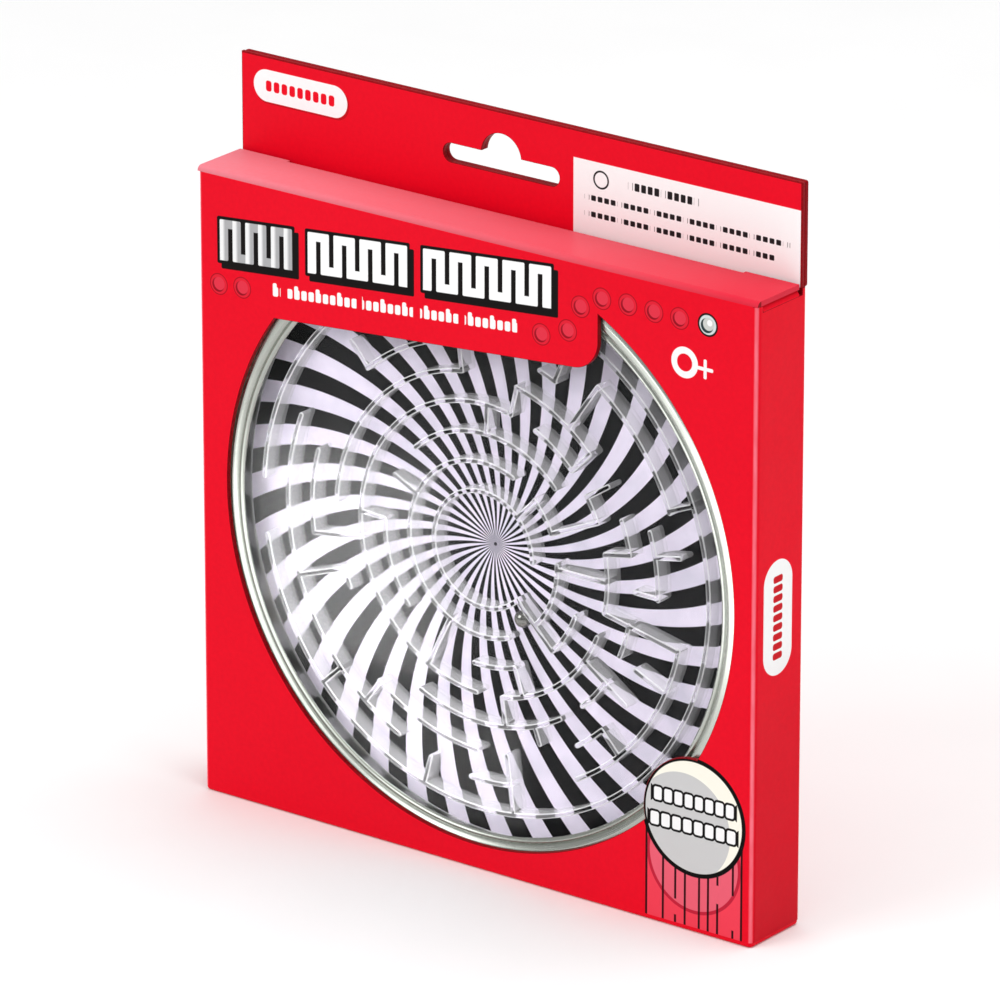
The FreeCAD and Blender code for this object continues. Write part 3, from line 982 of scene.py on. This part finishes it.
@dataclass(frozen=True)
class SpiralPrint:
    """Black and pale stripes that curl out from the middle, with a straight twist.

    A pale stripe's middle lies at an angle that grows evenly with the radius, and the stripes
    repeat every ten degrees.
    """
    centre: tuple[float, float]
    name: str = "spiral_print"
    stripes: int = 36
    start_deg: float = 3.3
    start_r: float = 4.9
    twist: float = 0.445
    pale: Rgb = srgb(236, 227, 243)
    shaded: Rgb = srgb(196, 194, 208)
    dark: Rgb = srgb(8, 8, 10)

    def material(self) -> Material:
        """The finished material."""
        graph = Graph(self.name)
        x, _, z, vector = graph.place()
        du, dv = x - self.centre[0], z - self.centre[1]
        radius = (du * du + dv * dv).math("SQRT")
        angle = dv.math("ARCTAN2", du) * (180 / math.pi)
        pitch = 360 / self.stripes
        phase = (angle - self.start_deg - (radius - self.start_r) * self.twist) % pitch
        from_middle = abs(phase - pitch / 2) * (-1.0) + pitch / 2
        off_edge = (from_middle - pitch / 4) * radius * (math.pi / 180)
        stripe = off_edge.ramp(-0.06, 0.06)
        grain = graph.noise(vector, 0.8, 4.0)
        cloud = graph.noise(vector, 0.11, 3.0).ramp(0.42, 0.72, 0.0, 0.55)
        paper = graph.blend(grain.ramp(0.35, 0.65), tuple(c * 0.95 for c in self.pale), self.pale)
        paper = graph.blend(cloud, paper, self.shaded)
        colour = graph.blend(stripe, paper, self.dark)
        hub = radius.ramp(1.7, 2.3, 1.0, 0.0)
        colour = graph.blend(hub * 0.55, colour, srgb(150, 146, 158))
        colour = graph.blend(radius.ramp(0.35, 0.5, 1.0, 0.0), colour, srgb(40, 38, 44))
        rough = grain.ramp(0.3, 0.7, 0.32, 0.42)
        return graph.finish(graph.surface({"Base Color": colour, "Roughness": rough,
                                           "Specular IOR Level": 0.06,
                                           "Normal": graph.bump(grain, 0.006)}))


@dataclass(frozen=True)
class BallSteel:
    """A polished steel ball with the faintest polishing marks."""
    name: str = "ball_steel"

    def material(self) -> Material:
        """The finished material."""
        graph = Graph(self.name)
        vector = graph.place().vector
        marks = graph.noise(vector, 6.0, 4.0)
        return graph.finish(graph.surface({"Base Color": srgb(138, 138, 134), "Metallic": 1.0,
                                           "Roughness": marks.ramp(0.3, 0.7, 0.06, 0.14),
                                           "Normal": graph.bump(marks, 0.002)}))


# ------------------------------------------------------------------ the carton
@dataclass
class Carton:
    """The folded board: window front, wrapped sides and back, header, base, closure and spacer."""
    bench: Workbench
    front: Box = field(default_factory=lambda: Box.of("front_panel"))
    back: Box = field(default_factory=lambda: Box.of("back_panel"))
    side: Box = field(default_factory=lambda: Box.of("right_panel"))
    lid: Box = field(default_factory=lambda: Box.of("top_flap"))
    game: Box = field(default_factory=lambda: Box.of("clear_cover"))
    crease_r: float = 1.35
    fine: float = 0.14
    window_r: float = 69.5
    window_shift: tuple[float, float] = (1.2, 1.6)
    title_edge: float = 45.8
    title_tilt: float = 4.4
    title_end: float = 33.0
    title_corner: float = 7.0
    badge_r: float = 13.5
    badge_shift: tuple[float, float] = (59.3, -48.4)
    sight: tuple[float, float] = (36.0, -20.0)
    slot_middle: tuple[float, float] = (-4.0, 10.5)
    slot_length: float = 31.6
    slot_arm: float = 4.3
    hump_r: float = 5.4
    hump_rise: float = 1.6
    dust_mitre: float = 1.1
    leaf_drop: float = 0.9

    def __post_init__(self) -> None:
        """Mixes the board's finishes."""
        self.board = self.front.size[1]
        self.cut, self.bare = ShadedCutEdge().material(), BareBoard().material()
        self.red = RedPrint().material()
        self.front_print, self.lid_painted_light = FrontPrint().material(), LidPaintedLight().material()
        self.header_print = HeaderPrint().material()
        self.sleeve_print = SleevePrint(side_x=self.front.hi[0], front_y=self.front.lo[1]).material()

    def sheet(self, name: str, shell: Shell, skin: Material, stands_for: Sequence[str],
              body: Body | None, edge: Material | None = None) -> Object:
        """A piece of red board: its print, its edge (cut board in painted shade unless given) and a bare
        inside.
        """
        return self.bench.piece(name, shell, [skin, edge or self.cut, self.bare], Slot.RED_BOARD,
                                stands_for, body)

    def window_outline(self) -> np.ndarray:
        """The window: a circle, less the tab with the title and the round tab with the badge.

        Anticlockwise from the badge: the circle, down the tab's upright end, round its corner,
        along its slanted edge, the circle again, and the badge's arc back to the start.
        """
        r, tan = self.window_r, math.tan(math.radians(self.title_tilt))
        a, b, c = 1 + tan * tan, 2 * self.title_edge * tan, self.title_edge ** 2 - r * r
        left_x = (-b - math.sqrt(b * b - 4 * a * c)) / (2 * a)
        left = (left_x, self.title_edge + left_x * tan)
        setback = self.title_corner * math.tan(math.radians((90 - self.title_tilt) / 2))
        corner = (self.title_end - self.title_corner, self.title_edge + self.title_end * tan + setback)
        reach = math.hypot(*self.badge_shift)
        toward = math.degrees(math.atan2(self.badge_shift[1], self.badge_shift[0]))
        half = math.degrees(math.acos((r * r + reach * reach - self.badge_r ** 2) / (2 * r * reach)))
        ends = arc((0, 0), r, toward - half, toward + half, 1) - np.array(self.badge_shift)
        turn = [math.degrees(math.atan2(e[1], e[0])) % 360 for e in ends]
        outline = np.concatenate([
            arc((0, 0), r, toward + half, math.degrees(math.acos(self.title_end / r)), 90)[1:],
            arc(corner, self.title_corner, 0, self.title_tilt - 90, 14),
            arc((0, 0), r, math.degrees(math.atan2(left[1], left[0])), toward - half + 360, 170),
            arc(self.badge_shift, self.badge_r, turn[0], turn[1], 40)[1:]])
        return outline + self.window_middle()

    def window_middle(self) -> np.ndarray:
        """The middle of the window's circle."""
        return self.game.mid[[0, 2]] + np.array(self.window_shift)

    def slot_outline(self) -> np.ndarray:
        """The hang slot, anticlockwise: two round-ended arms with a hump over the middle."""
        x, z = self.slot_middle[0], self.lid.hi[2] + self.slot_middle[1]
        end, half = self.slot_arm / 2, self.slot_length / 2 - self.slot_arm / 2
        lift = end - self.hump_rise
        foot = math.degrees(math.asin(lift / self.hump_r))
        hump = arc((x, z + self.hump_rise), self.hump_r, foot, 180 - foot, 30)
        return np.concatenate([arc((x + half, z), end, -90, 90, 14), hump,
                               arc((x - half, z), end, 90, 270, 14)])

    def build(self) -> None:
        """Builds every piece of the carton."""
        self.window_board()
        self.sleeve()
        self.header()
        self.base()
        self.closure()
        self.spacer()

    def window_board(self) -> None:
        """The flat of the front panel between its two upright creases."""
        x = self.front.hi[0] - self.crease_r
        z0, z1 = self.front.lo[2], self.front.hi[2]
        outer = np.array([(-x, z0), (x, z0), (x, z1), (-x, z1)], float)
        shell = pierced(self.window_outline(), outer, tuple(self.window_middle() + np.array(self.sight)),
                        self.front.lo[1], self.front.hi[1], self.fine, 0.0)
        self.sheet("window_board", shell, self.front_print, ["front_panel"], Body.CARTON)

    def sleeve(self) -> None:
        """The board that wraps round from one front crease to the other, sides and back in one."""
        hx, y0, y1, r = self.front.hi[0], self.front.lo[1], self.back.hi[1], self.crease_r
        top, side_top = self.front.hi[2], self.side.hi[2]
        right_front = arc((hx - r, y0 + r), r, -90, 0, 10)
        right_back = arc((hx - r, y1 - r), r, 0, 90, 10)
        near, far, step = self.front.hi[1] + 0.6, self.side.hi[1] - 0.6, 0.05
        notch = [(hx, near), (hx, near + step), (hx, far - step), (hx, far)]
        half = np.concatenate([right_front, notch, right_back])
        high = np.concatenate([np.full(len(right_front) + 1, top), [side_top, side_top],
                               np.full(len(right_back) + 1, top)])
        path = np.concatenate([half, half[::-1] * np.array([-1, 1])])
        heights = np.concatenate([high, high[::-1]])
        shell = carried(path, self.board, self.front.lo[2], heights, 0.1)
        self.sheet("sleeve_board", shell, self.sleeve_print,
                   ["left_panel", "right_panel", "back_panel"], Body.CARTON)

    def header(self) -> None:
        """The header's two leaves, folded together at the top and pierced by the hang slot."""
        foot, top, hx = self.front.hi[2], self.back.hi[2], self.back.hi[0]
        leaf, lap_x = Box.of("header_front_leaf"), Box.of("spacer_leg_right").lo[0] - 2.5
        shelf, slot = self.lid.hi[2], self.slot_outline()
        centre = (self.slot_middle[0], shelf + self.slot_middle[1])
        rear_outline = round_rectangle((-hx, foot), (hx, top), 0.5, 3)
        rear_y = self.back.hi[1]
        rear = pierced(slot, rear_outline, centre, rear_y, rear_y - self.board, self.fine, 0.3)
        seat = shelf - self.leaf_drop * self.board
        front_outline = np.array([(-lap_x, leaf.lo[2]), (lap_x, leaf.lo[2]), (lap_x, seat), (hx, seat),
                                  (hx, top), (-hx, top), (-hx, seat), (-lap_x, seat)], float)
        front = pierced(slot, front_outline, centre, leaf.lo[1], leaf.hi[1], self.fine, 0.3)
        self.sheet("header_rear_board", rear, self.sleeve_print, [], Body.CARTON)
        self.sheet("header_front_board", front, self.header_print, ["header_front_leaf"], Body.CARTON)

    def base(self) -> None:
        """The outer bottom flap, rounded where it folds from the front, and the flaps inside it."""
        box = Box.of("bottom_outer_flap")
        outline = round_rectangle((box.lo[0] + 0.15, box.lo[1]), (box.hi[0] - 0.15, box.hi[1] - 0.15), 1.2, 6)
        shell = slab(outline, box.lo[2], box.hi[2], 0.8, 0.02, Plane.LEVEL, 5)
        self.sheet("base_board", shell, self.red, ["bottom_outer_flap"], Body.CARTON, self.red)
        for node in ("bottom_inner_flap", "bottom_dust_flap_left", "bottom_dust_flap_right", "glue_seam"):
            self.bench.dress(node, self.bare)

    def closure(self) -> None:
        """The closure panel, its tuck and the two dust flaps, each with the crease it folds on."""
        lid, tuck, r = self.lid, Box.of("top_tuck"), self.board
        hx, near, far, inset = lid.hi[0], lid.lo[1] + r, lid.hi[1], tuck.hi[0]
        outline = np.array([(-hx, near), (hx, near), (hx, far), (inset, far), (inset, far - r),
                            (-inset, far - r), (-inset, far), (-hx, far)])
        panel = slab(outline, lid.hi[2], lid.lo[2], 0.02, 0.02, Plane.LEVEL, 2)
        # The closure board's face and edges, and both creases below, take the lid's painted light.
        self.sheet("closure_board", panel, self.lid_painted_light, ["top_flap"], Body.CLOSURE, self.lid_painted_light)
        self.crease("closure_crease", Body.CARTON, Body.CLOSURE, (lid.lo[1] + r, lid.lo[2]), (180, 90),
                    (lid.lo[0], lid.hi[0]), 0, self.lid_painted_light)
        outline = round_rectangle((tuck.lo[0], tuck.lo[2]), (tuck.hi[0], tuck.hi[2]), 3.0, 8)
        blade = slab(outline, tuck.hi[1], tuck.lo[1], self.fine, self.fine, Plane.UPRIGHT)
        self.sheet("tuck_board", blade, self.red, ["top_tuck"], Body.TUCK)
        self.crease("tuck_crease", Body.CLOSURE, Body.TUCK, (tuck.lo[1], tuck.hi[2]), (90, 0),
                    (tuck.lo[0], tuck.hi[0]), 0, self.lid_painted_light)
        for name, body, sign in (("left", Body.DUST_LEFT, -1), ("right", Body.DUST_RIGHT, 1)):
            self.dust_flap(name, body, sign)

    def dust_flap(self, name: str, body: Body, sign: int) -> None:
        """A mitred dust flap with its crease on the side panel.

        Args:
            name: left or right.
            body: the flap's body.
            sign: -1 on the left, 1 on the right.
        """
        box = Box.of("top_dust_flap_" + name)
        long, r = box.size[0], self.board
        near, far = box.lo[1], box.hi[1]
        start = self.front.lo[1]
        corners = np.array([(r, near), (self.dust_mitre * (near - start), near),
                            (long, start + long / self.dust_mitre), (long, far), (r, far)])
        outline = np.stack([sign * (self.front.hi[0] - corners[:, 0]), corners[:, 1]], -1)
        outline = outline if sign < 0 else outline[::-1]
        shell = slab(outline, box.hi[2], box.lo[2], 0.1, 0.1, Plane.LEVEL, 2)
        self.sheet("dust_flap_board_" + name, shell, self.red, ["top_dust_flap_" + name], body)
        middle = (sign * (self.front.hi[0] - r), box.lo[2])
        self.crease("dust_flap_crease_" + name, Body.CARTON, body, middle, (90 - 90 * sign, 90),
                    (near, far), 1, self.red)

    def crease(self, name: str, fixed: Body, moving: Body, middle: tuple[float, float],
               turn: tuple[float, float], reach: tuple[float, float], along: int,
               skin: Material) -> None:
        """A quarter tube of board between a panel and its flap.

        The cross-section is a quarter ring about the crease's inner corner, carried straight
        along the crease.

        Args:
            name: the piece's name.
            fixed: the panel's body; not used.
            moving: the flap's body; not used.
            middle: the inner corner, as (y, z) for a crease along X or (x, z) for one along Y.
            turn: degrees where the quarter starts on the panel and ends on the flap.
            reach: the crease's two ends.
            along: the axis it runs along, 0 or 1.
            skin: the printed face's material.
        """
        r, steps = self.board, 8
        rows = np.linspace(reach[0], reach[1], 2)
        outer, inner = arc(middle, r, *turn, steps), arc(middle, 0.04, *turn, steps)
        section = np.concatenate([outer, inner[::-1]])
        rings = np.empty((len(rows), len(section), 3))
        rings[..., along] = rows[:, None]
        rings[..., 1 - along], rings[..., 2] = section[:, 0], section[:, 1]
        shell = Shell.of_rings(rings, [Skin.OUTSIDE])
        row = np.array([Skin.OUTSIDE.value] * steps + [Skin.CUT.value]
                       + [Skin.INSIDE.value] * steps + [Skin.CUT.value])
        shell.skins = row.tolist() + [Skin.CUT.value] * 2
        piece = self.sheet(name, shell, skin, [], None)
        start, end = np.zeros(3), np.zeros(3)
        start[[1 - along, 2]], end[[1 - along, 2]] = outer[0], outer[-1]
        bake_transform(piece)

    def spacer(self) -> None:
        """The pad behind the tin with its two turned-back legs, as one folded strip."""
        pad, left, right = (Box.of("spacer_" + n) for n in ("platform", "leg_left", "leg_right"))
        r, y0, y1 = self.board + 0.15, pad.lo[1], right.hi[1]
        path = np.concatenate([[(left.lo[0], y1)], arc((left.lo[0] + r, y0 + r), r, 180, 270, 8),
                               arc((right.hi[0] - r, y0 + r), r, 270, 360, 8), [(right.hi[0], y1)]])
        shell = carried(path, self.board, pad.lo[2], np.full(len(path), pad.hi[2]), 0.1)
        self.bench.piece("spacer_board", shell, [self.bare, self.bare, self.bare], Slot.PLAIN_BOARD,
                         ["spacer_platform", "spacer_leg_left", "spacer_leg_right"], Body.CARTON)


# ------------------------------------------------------------------ the game
def walls_of_maze() -> tuple[list[list[tuple[float, float]]], list[tuple[float, float, float]]]:
    """The maze's plan: standing stretches of each ring, and straight walls as angle and two rings."""
    rings = [
        [(0, 315)],
        [(66, 290), (23, 46), (-45.5, 2.5)],
        [(43.5, 133), (177.5, 220.5), (-95, -71), (-45.5, -21.5)],
        [(79, 267), (44.5, 65), (23, 33.5), (-12, 11), (-81, -23)],
        [(98, 176.5), (44.5, 77), (11, 22), (-23.5, -12), (-48, -35), (-115, -58.5), (-161.5, -155)],
        [(164, 188), (109, 132), (65.5, 71), (-1, 17.5), (-57, -46.7), (-127.5, -92)],
        [(158, 244.5), (84, 121.5), (21.5, 55), (-61.5, -12), (-93.5, -82)],
        [(-170.5, 176.5)]]
    straight = [
        (45.5, 1, 2), (-45.5, 1, 3), (23, 2, 4), (0, 2, 4), (153.5, 2, 3), (-116.5, 2, 4), (88, 3, 4),
        (-71, 3, 4), (177.5, 3, 4), (33.2, 4, 5), (44.5, 4, 5), (76.8, 4, 5), (11, 4, 5), (-81, 4, 5),
        (-12.3, 4, 7), (-35, 4, 6), (-172, 4, 6), (98, 5, 6), (55, 5, 7), (-0.6, 5.1, 6), (-69.5, 5, 5.6),
        (-161, 5, 7), (131.7, 6, 7), (65.8, 6, 8), (10.7, 6, 7), (-46.7, 6, 7), (-24, 5.7, 7),
        (-127.2, 6, 7), (-82, 6, 8), (22, 7, 8), (-105.5, 7, 8), (-137, 7, 8)]
    return rings, straight


@dataclass
class TinGame:
    """The round game: rolled rim, pressed tin, clear cover, clear maze, printed disc and ball."""
    bench: Workbench
    rim: Box = field(default_factory=lambda: Box.of("rim_ring"))
    dish: Box = field(default_factory=lambda: Box.of("tin_dish"))
    cover: Box = field(default_factory=lambda: Box.of("clear_cover"))
    tray: Box = field(default_factory=lambda: Box.of("maze_tray"))
    disc: Box = field(default_factory=lambda: Box.of("printed_disc"))
    ball: Box = field(default_factory=lambda: Box.of("steel_ball"))
    turn_steps: int = 288
    metal: float = 0.4
    rim_band: float = 5.4
    bead: float = 1.35
    lip: float = 1.6
    first_ring: float = 13.5
    ring_pitch: float = 6.8
    wall: float = 1.2
    wall_corner: float = 0.25
    base: float = 0.6
    air: float = 0.06

    def __post_init__(self) -> None:
        """Finds the game's middle and mixes its finishes."""
        self.centre = (float(self.cover.mid[0]), float(self.cover.mid[2]))
        self.tin = TurnedTin("rim_tin", self.centre).material()
        self.dish_tin = TurnedTin("dish_tin", self.centre, rough=0.3).material()
        self.cover_plastic = ClearPlastic("cover_plastic", 1.06, 0.0, sheen=0.05).material()
        # The walls' upright sides and rounded edges take milky copies of the clear plastic, lit by the lamps;
        # the edges are the milkiest, a painted highlight that shows as bright outlines.
        self.tray_plastics = [ClearPlastic("tray_plastic", 1.11, 0.01).material(),
                              ClearPlastic("wall_side_plastic", 1.13, 0.02, clear=0.78).material(),
                              ClearPlastic("wall_edge_highlight_plastic", 1.13, 0.1, clear=0.48).material()]

    def build(self) -> None:
        """Builds every piece of the game."""
        self.rolled_rim()
        self.pressed_tin()
        self.cover_plate()
        self.printed_disc()
        self.maze()
        self.steel_ball()

    def rolled_rim(self) -> None:
        """The rolled rim: an inner bead, a groove and a broad crown over the edge, then skirt and lip.

        Each bulge is half a sine wave over its width, and the inside follows it one sheet in.
        """
        outer_r = self.cover.size[0] / 2 + 0.1 + self.metal
        inner_r, foot, peak = outer_r - self.rim_band, float(self.cover.lo[1]), float(self.rim.lo[1])
        back = float(self.rim.hi[1])
        t = np.linspace(0, 1, 13)
        small = np.stack([inner_r + self.bead * t, foot - (0.12 + 0.62 * np.sin(math.pi * t * 0.86))], -1)
        start = small[-1]
        crown_t = np.linspace(0, 1, 25)[1:]
        bulge = (foot - peak - 0.10) * np.sin(math.pi * crown_t) ** 0.8
        crown = np.stack([start[0] + (outer_r - start[0]) * crown_t,
                          foot + (start[1] - foot) * (1 - crown_t) - bulge], -1)
        crown[:, 1] = np.maximum(crown[:, 1], peak + 0.01)
        turned_in = arc((outer_r - 0.5, back - 0.5), 0.5, 0, 90, 5)
        outside = np.concatenate([[(inner_r, foot - 0.02)], small, crown, turned_in,
                                  [(outer_r - self.lip, back)]])
        inside = np.array([(outer_r - self.lip, back - self.metal), (outer_r - self.metal, back - self.metal),
                           (outer_r - self.metal, foot), (outer_r - 1.6, foot - 0.55),
                           (start[0] + 0.9, foot - 0.55),
                           (start[0], foot - 0.2), (inner_r + self.metal, foot - 0.02)])
        shell = turned(np.concatenate([outside, inside]), self.centre, self.turn_steps)
        self.bench.piece("rolled_rim", shell, [self.tin], Slot.RIM_TIN, ["rim_ring"], Body.GAME, 50)

    def pressed_tin(self) -> None:
        """The shallow tin, its bottom and flange each meeting the wall in a small bend."""
        r, wall = self.dish.size[0] / 2, self.tray.size[0] / 2 + 0.1
        front, back, m = float(self.dish.lo[1]), float(self.dish.hi[1]), self.metal
        bend = 0.7
        outside = np.concatenate([[(0, back)], arc((wall + m - bend, back - bend), bend, 90, 0, 6),
                                  [(wall + m, front + m), (r, front + m)]])
        inside = np.concatenate([[(r, front), (wall, front)],
                                 arc((wall - 0.3, back - m - 0.3), 0.3, 0, 90, 5), [(0, back - m)]])
        shell = turned(np.concatenate([outside, inside]), self.centre, self.turn_steps // 2)
        self.bench.piece("pressed_tin", shell, [self.dish_tin], Slot.DISH_TIN, ["tin_dish"], Body.GAME)

    def plate(self, box: Box, edge: float) -> Shell:
        """A round plate filling a box, with a rounded rim."""
        r, y0, y1 = box.size[0] / 2, float(box.lo[1]), float(box.hi[1])
        profile = edge_profile(y0, y1, edge, edge, 4)
        section = np.stack([r - profile[:, 1], profile[:, 0]], -1)
        return turned(np.concatenate([[(0.0, y0)], section, [(0.0, y1)]]), self.centre, self.turn_steps)

    def cover_plate(self) -> None:
        """The clear cover."""
        self.bench.piece("cover_plate", self.plate(self.cover, 0.15), [self.cover_plastic],
                         Slot.CLEAR_PLASTIC, ["clear_cover"], Body.GAME)

    def printed_disc(self) -> None:
        """The printed disc under the maze."""
        material = SpiralPrint(self.centre).material()
        self.bench.piece("spiral_disc", self.plate(self.disc, 0.05), [material], Slot.SPIRAL_PRINT,
                         ["printed_disc"], Body.GAME)

    def wall_outline(self, points: np.ndarray) -> np.ndarray:
        """The plan of a wall along a line of points: both sides, with rounded ends."""
        step = np.gradient(points, axis=0)
        step /= np.linalg.norm(step, axis=1, keepdims=True)
        side = np.stack([step[:, 1], -step[:, 0]], -1) * self.wall / 2
        ends = []
        for point, way in ((points[-1], step[-1]), (points[0], -step[0])):
            turn = math.degrees(math.atan2(way[1], way[0]))
            ends.append(arc(tuple(point), self.wall / 2, turn - 90, turn + 90, 6)[1:-1])
        return np.concatenate([points + side, ends[0], (points - side)[::-1], ends[1]])

    def ring_r(self, number: float) -> float:
        """Middle radius of a ring wall, counted from one."""
        return self.first_ring + (number - 1) * self.ring_pitch

    def maze(self) -> None:
        """The clear moulding: a thin base with every wall standing on it, joined into one skin.

        Each wall's plan is a line thickened to both sides, carried up to a rounded top. The
        walls and the base are then united, so that no face is left inside the plastic.
        """
        rings, straight = walls_of_maze()
        top, foot = float(self.tray.lo[1]), float(self.tray.hi[1]) - self.base / 2
        plans = []
        for number, stretches in enumerate(rings, start=1):
            for a, b in stretches:
                r = self.ring_r(number)
                steps = max(4, int(abs(b - a) * math.radians(1) * r / 1.2))
                plans.append(arc(self.centre, r, a, b, steps))
        for angle, a, b in straight:
            way = np.array([math.cos(math.radians(angle)), math.sin(math.radians(angle))])
            reach = np.linspace(self.ring_r(a), self.ring_r(b), 3)[:, None]
            plans.append(np.array(self.centre) + reach * way)
        box = Box(np.array([self.tray.lo[0], self.tray.hi[1] - self.base, 0]),
                  np.array([self.tray.hi[0], self.tray.hi[1] - self.air, 0]))
        shells = [self.plate(box, 0.1)]
        shells += [slab(self.wall_outline(p), top, foot, self.wall_corner, 0.0, Plane.UPRIGHT)
                   for p in plans]
        piece = self.bench.piece("maze_moulding", self.united(shells), self.tray_plastics, Slot.CLEAR_PLASTIC,
                                 ["maze_tray"], Body.GAME, 30)
        log.info("maze: %d walls, %d points", len(plans), len(piece.data.vertices))

    @staticmethod
    def united(shells: Sequence[Shell]) -> Shell:
        """One skin round overlapping closed shells, by Boolean union."""
        scene = bpy.context.scene.collection
        group = bpy.data.collections.new("maze_walls")
        objects = []
        for number, shell in enumerate(shells):
            mesh = bpy.data.meshes.new(f"part_{number}")
            mesh.from_pydata(shell.points.tolist(), [], shell.faces)
            clean(mesh, 1e-5, False)
            objects.append(bpy.data.objects.new(f"part_{number}", mesh))
            (scene if number == 0 else group).objects.link(objects[-1])
        union = objects[0].modifiers.new("union", "BOOLEAN")
        union.operation, union.solver, union.use_self = "UNION", "EXACT", True
        union.operand_type, union.collection = "COLLECTION", group
        graph = bpy.context.evaluated_depsgraph_get()
        whole = bpy.data.meshes.new_from_object(objects[0].evaluated_get(graph))
        points = np.zeros(len(whole.vertices) * 3)
        whole.vertices.foreach_get("co", points)
        faces = [list(p.vertices) for p in whole.polygons]
        depth = [abs(p.normal.y) for p in whole.polygons]
        skins = [0 if d > FLAT_FACE else 1 if d < UPRIGHT_FACE else 2 for d in depth]
        for made in objects:
            bpy.data.objects.remove(made)
        bpy.data.collections.remove(group)
        return Shell(points.reshape(-1, 3), faces, skins)

    def steel_ball(self) -> None:
        """The ball: a half circle of (radius, depth) points turned about the depth axis."""
        r, mid = self.ball.size[2] / 2, self.ball.mid
        turn = np.radians(np.linspace(-90, 90, 33))
        profile = np.stack([r * np.cos(turn), mid[1] + r * np.sin(turn)], -1)
        shell = turned(profile, (float(mid[0]), float(mid[2])), 64)
        self.bench.piece("steel_bearing_ball", shell, [BallSteel().material()], Slot.BALL_STEEL,
                         ["steel_ball"], Body.BALL)


# ------------------------------------------------------------------ studio
@dataclass
class Studio:
    """A pale floor, soft lights and the camera."""
    target: tuple[float, float, float] = (0.78, 0.0, 84.08)
    azimuth: float = 37.30
    elevation: float = 20.39
    distance: float = 2027.0
    sensor: float = 36.0
    focal_per_width: float = 9.28
    floor_half: float = 6.0

    def floor(self) -> None:
        """A broad flat floor, pale and matt."""
        graph = Graph("studio_floor")
        vector = graph.place().vector
        grain = graph.noise(vector, 0.02, 2.0)
        colour = graph.blend(grain.ramp(0.3, 0.7), (0.925, 0.925, 0.925), (0.94, 0.94, 0.94))
        material = graph.finish(graph.surface({"Base Color": colour, "Roughness": 0.9,
                                               "Specular IOR Level": 0.05}))
        side = np.linspace(-self.floor_half, self.floor_half, 3)
        xs, ys = np.meshgrid(side, side)
        mesh = bpy.data.meshes.new("studio_floor")
        points = np.stack([xs, ys, np.zeros_like(xs)], -1).reshape(-1, 3)
        mesh.from_pydata(points.tolist(), [], [(0, 1, 4, 3), (1, 2, 5, 4), (3, 4, 7, 6), (4, 5, 8, 7)])
        mesh.materials.append(material)
        floor = bpy.data.objects.new("studio_floor", mesh)
        bpy.context.scene.collection.objects.link(floor)

    def world(self, strength: float = 0.50) -> None:
        """Even pale light from all round."""
        world = bpy.data.worlds.new("studio")
        world.use_nodes = True
        back = world.node_tree.nodes["Background"]
        back.inputs["Color"].default_value = (1.0, 1.0, 1.0, 1.0)
        back.inputs["Strength"].default_value = strength
        bpy.context.scene.world = world

    def softbox(self, name: str, place: tuple[float, float, float], aim: tuple[float, float, float],
                size: tuple[float, float], power: float, only_on: Object | None = None) -> None:
        """A rectangular soft light.

        Args:
            name: its name.
            place: where it hangs, in metres.
            aim: the point it faces.
            size: its two sides.
            power: its power in watts.
            only_on: the one piece it lights, or None for the whole studio.
        """
        data = bpy.data.lights.new(name, "AREA")
        data.shape, data.size, data.size_y, data.energy = "RECTANGLE", size[0], size[1], power
        light = bpy.data.objects.new(name, data)
        light.location = place
        light.rotation_euler = (Vector(aim) - Vector(place)).to_track_quat("-Z", "Y").to_euler()
        light.visible_camera = False
        if only_on:
            lit = bpy.data.collections.new(name)
            lit.objects.link(only_on)
            light.light_linking.receiver_collection = lit
            light.visible_diffuse = light.visible_transmission = False
        bpy.context.scene.collection.objects.link(light)

    def camera(self) -> None:
        """The camera, a long lens looking down at the window from the right."""
        az, el = math.radians(self.azimuth), math.radians(self.elevation)
        way = Vector((math.sin(az) * math.cos(el), -math.cos(az) * math.cos(el), math.sin(el)))
        data = bpy.data.cameras.new("camera")
        data.sensor_width, data.lens = self.sensor, self.sensor * self.focal_per_width
        data.clip_start, data.clip_end = 0.05, 50.0
        camera = bpy.data.objects.new("camera", data)
        camera.location = Vector(self.target) * MM + way * self.distance * MM
        camera.rotation_euler = way.to_track_quat("Z", "Y").to_euler()
        bpy.context.scene.collection.objects.link(camera)
        bpy.context.scene.camera = camera

    def build(self) -> None:
        """Sets up the whole studio."""
        bpy.context.scene.view_settings.view_transform = "Standard"
        self.floor()
        self.world()
        self.camera()
        self.softbox("key", (-1.0, -1.9, 1.5), (0, 0, 0.08), (1.4, 1.4), 20.0)
        self.softbox("top", (0.3, 0.1, 1.8), (0, 0, 0.0), (1.6, 1.6), 22.0)
        self.softbox("side", (1.7, -0.3, 0.9), (0, 0, 0.08), (1.2, 1.2), 2.0)

    def glare(self, cover: Object, rim: Object) -> None:
        """Reflections on the game alone: on the cover's left, along its foot, and on the rim's right.

        Args:
            cover: the clear cover.
            rim: the rolled rim.
        """
        for name, (x, y, z), size, power, piece in (
                ("left_glare", (-0.084, -0.066, 0.036), (0.052, 0.050), 0.28, cover),
                ("rim_light", (0.045, -0.120, 0.075), (0.150, 0.140), 0.150, rim),
                ("foot_glare", (-0.026, -0.021, 0.015), (0.054, 0.024), 0.036, cover)):
            self.softbox(name, (x, y, z), (x, 0.0, z), size, power, piece)


def main() -> None:
    """Builds the studio, the carton and the game, and reports each piece."""
    logging.basicConfig(level=logging.INFO, format="%(name)s: %(message)s")
    bench = Workbench()
    studio = Studio()
    studio.build()
    Carton(bench).build()
    TinGame(bench).build()
    studio.glare(bpy.data.objects["cover_plate"], bpy.data.objects["rolled_rim"])
    log.info("%d pieces made", len(bench.made))


if __name__ == "__main__":
    main()
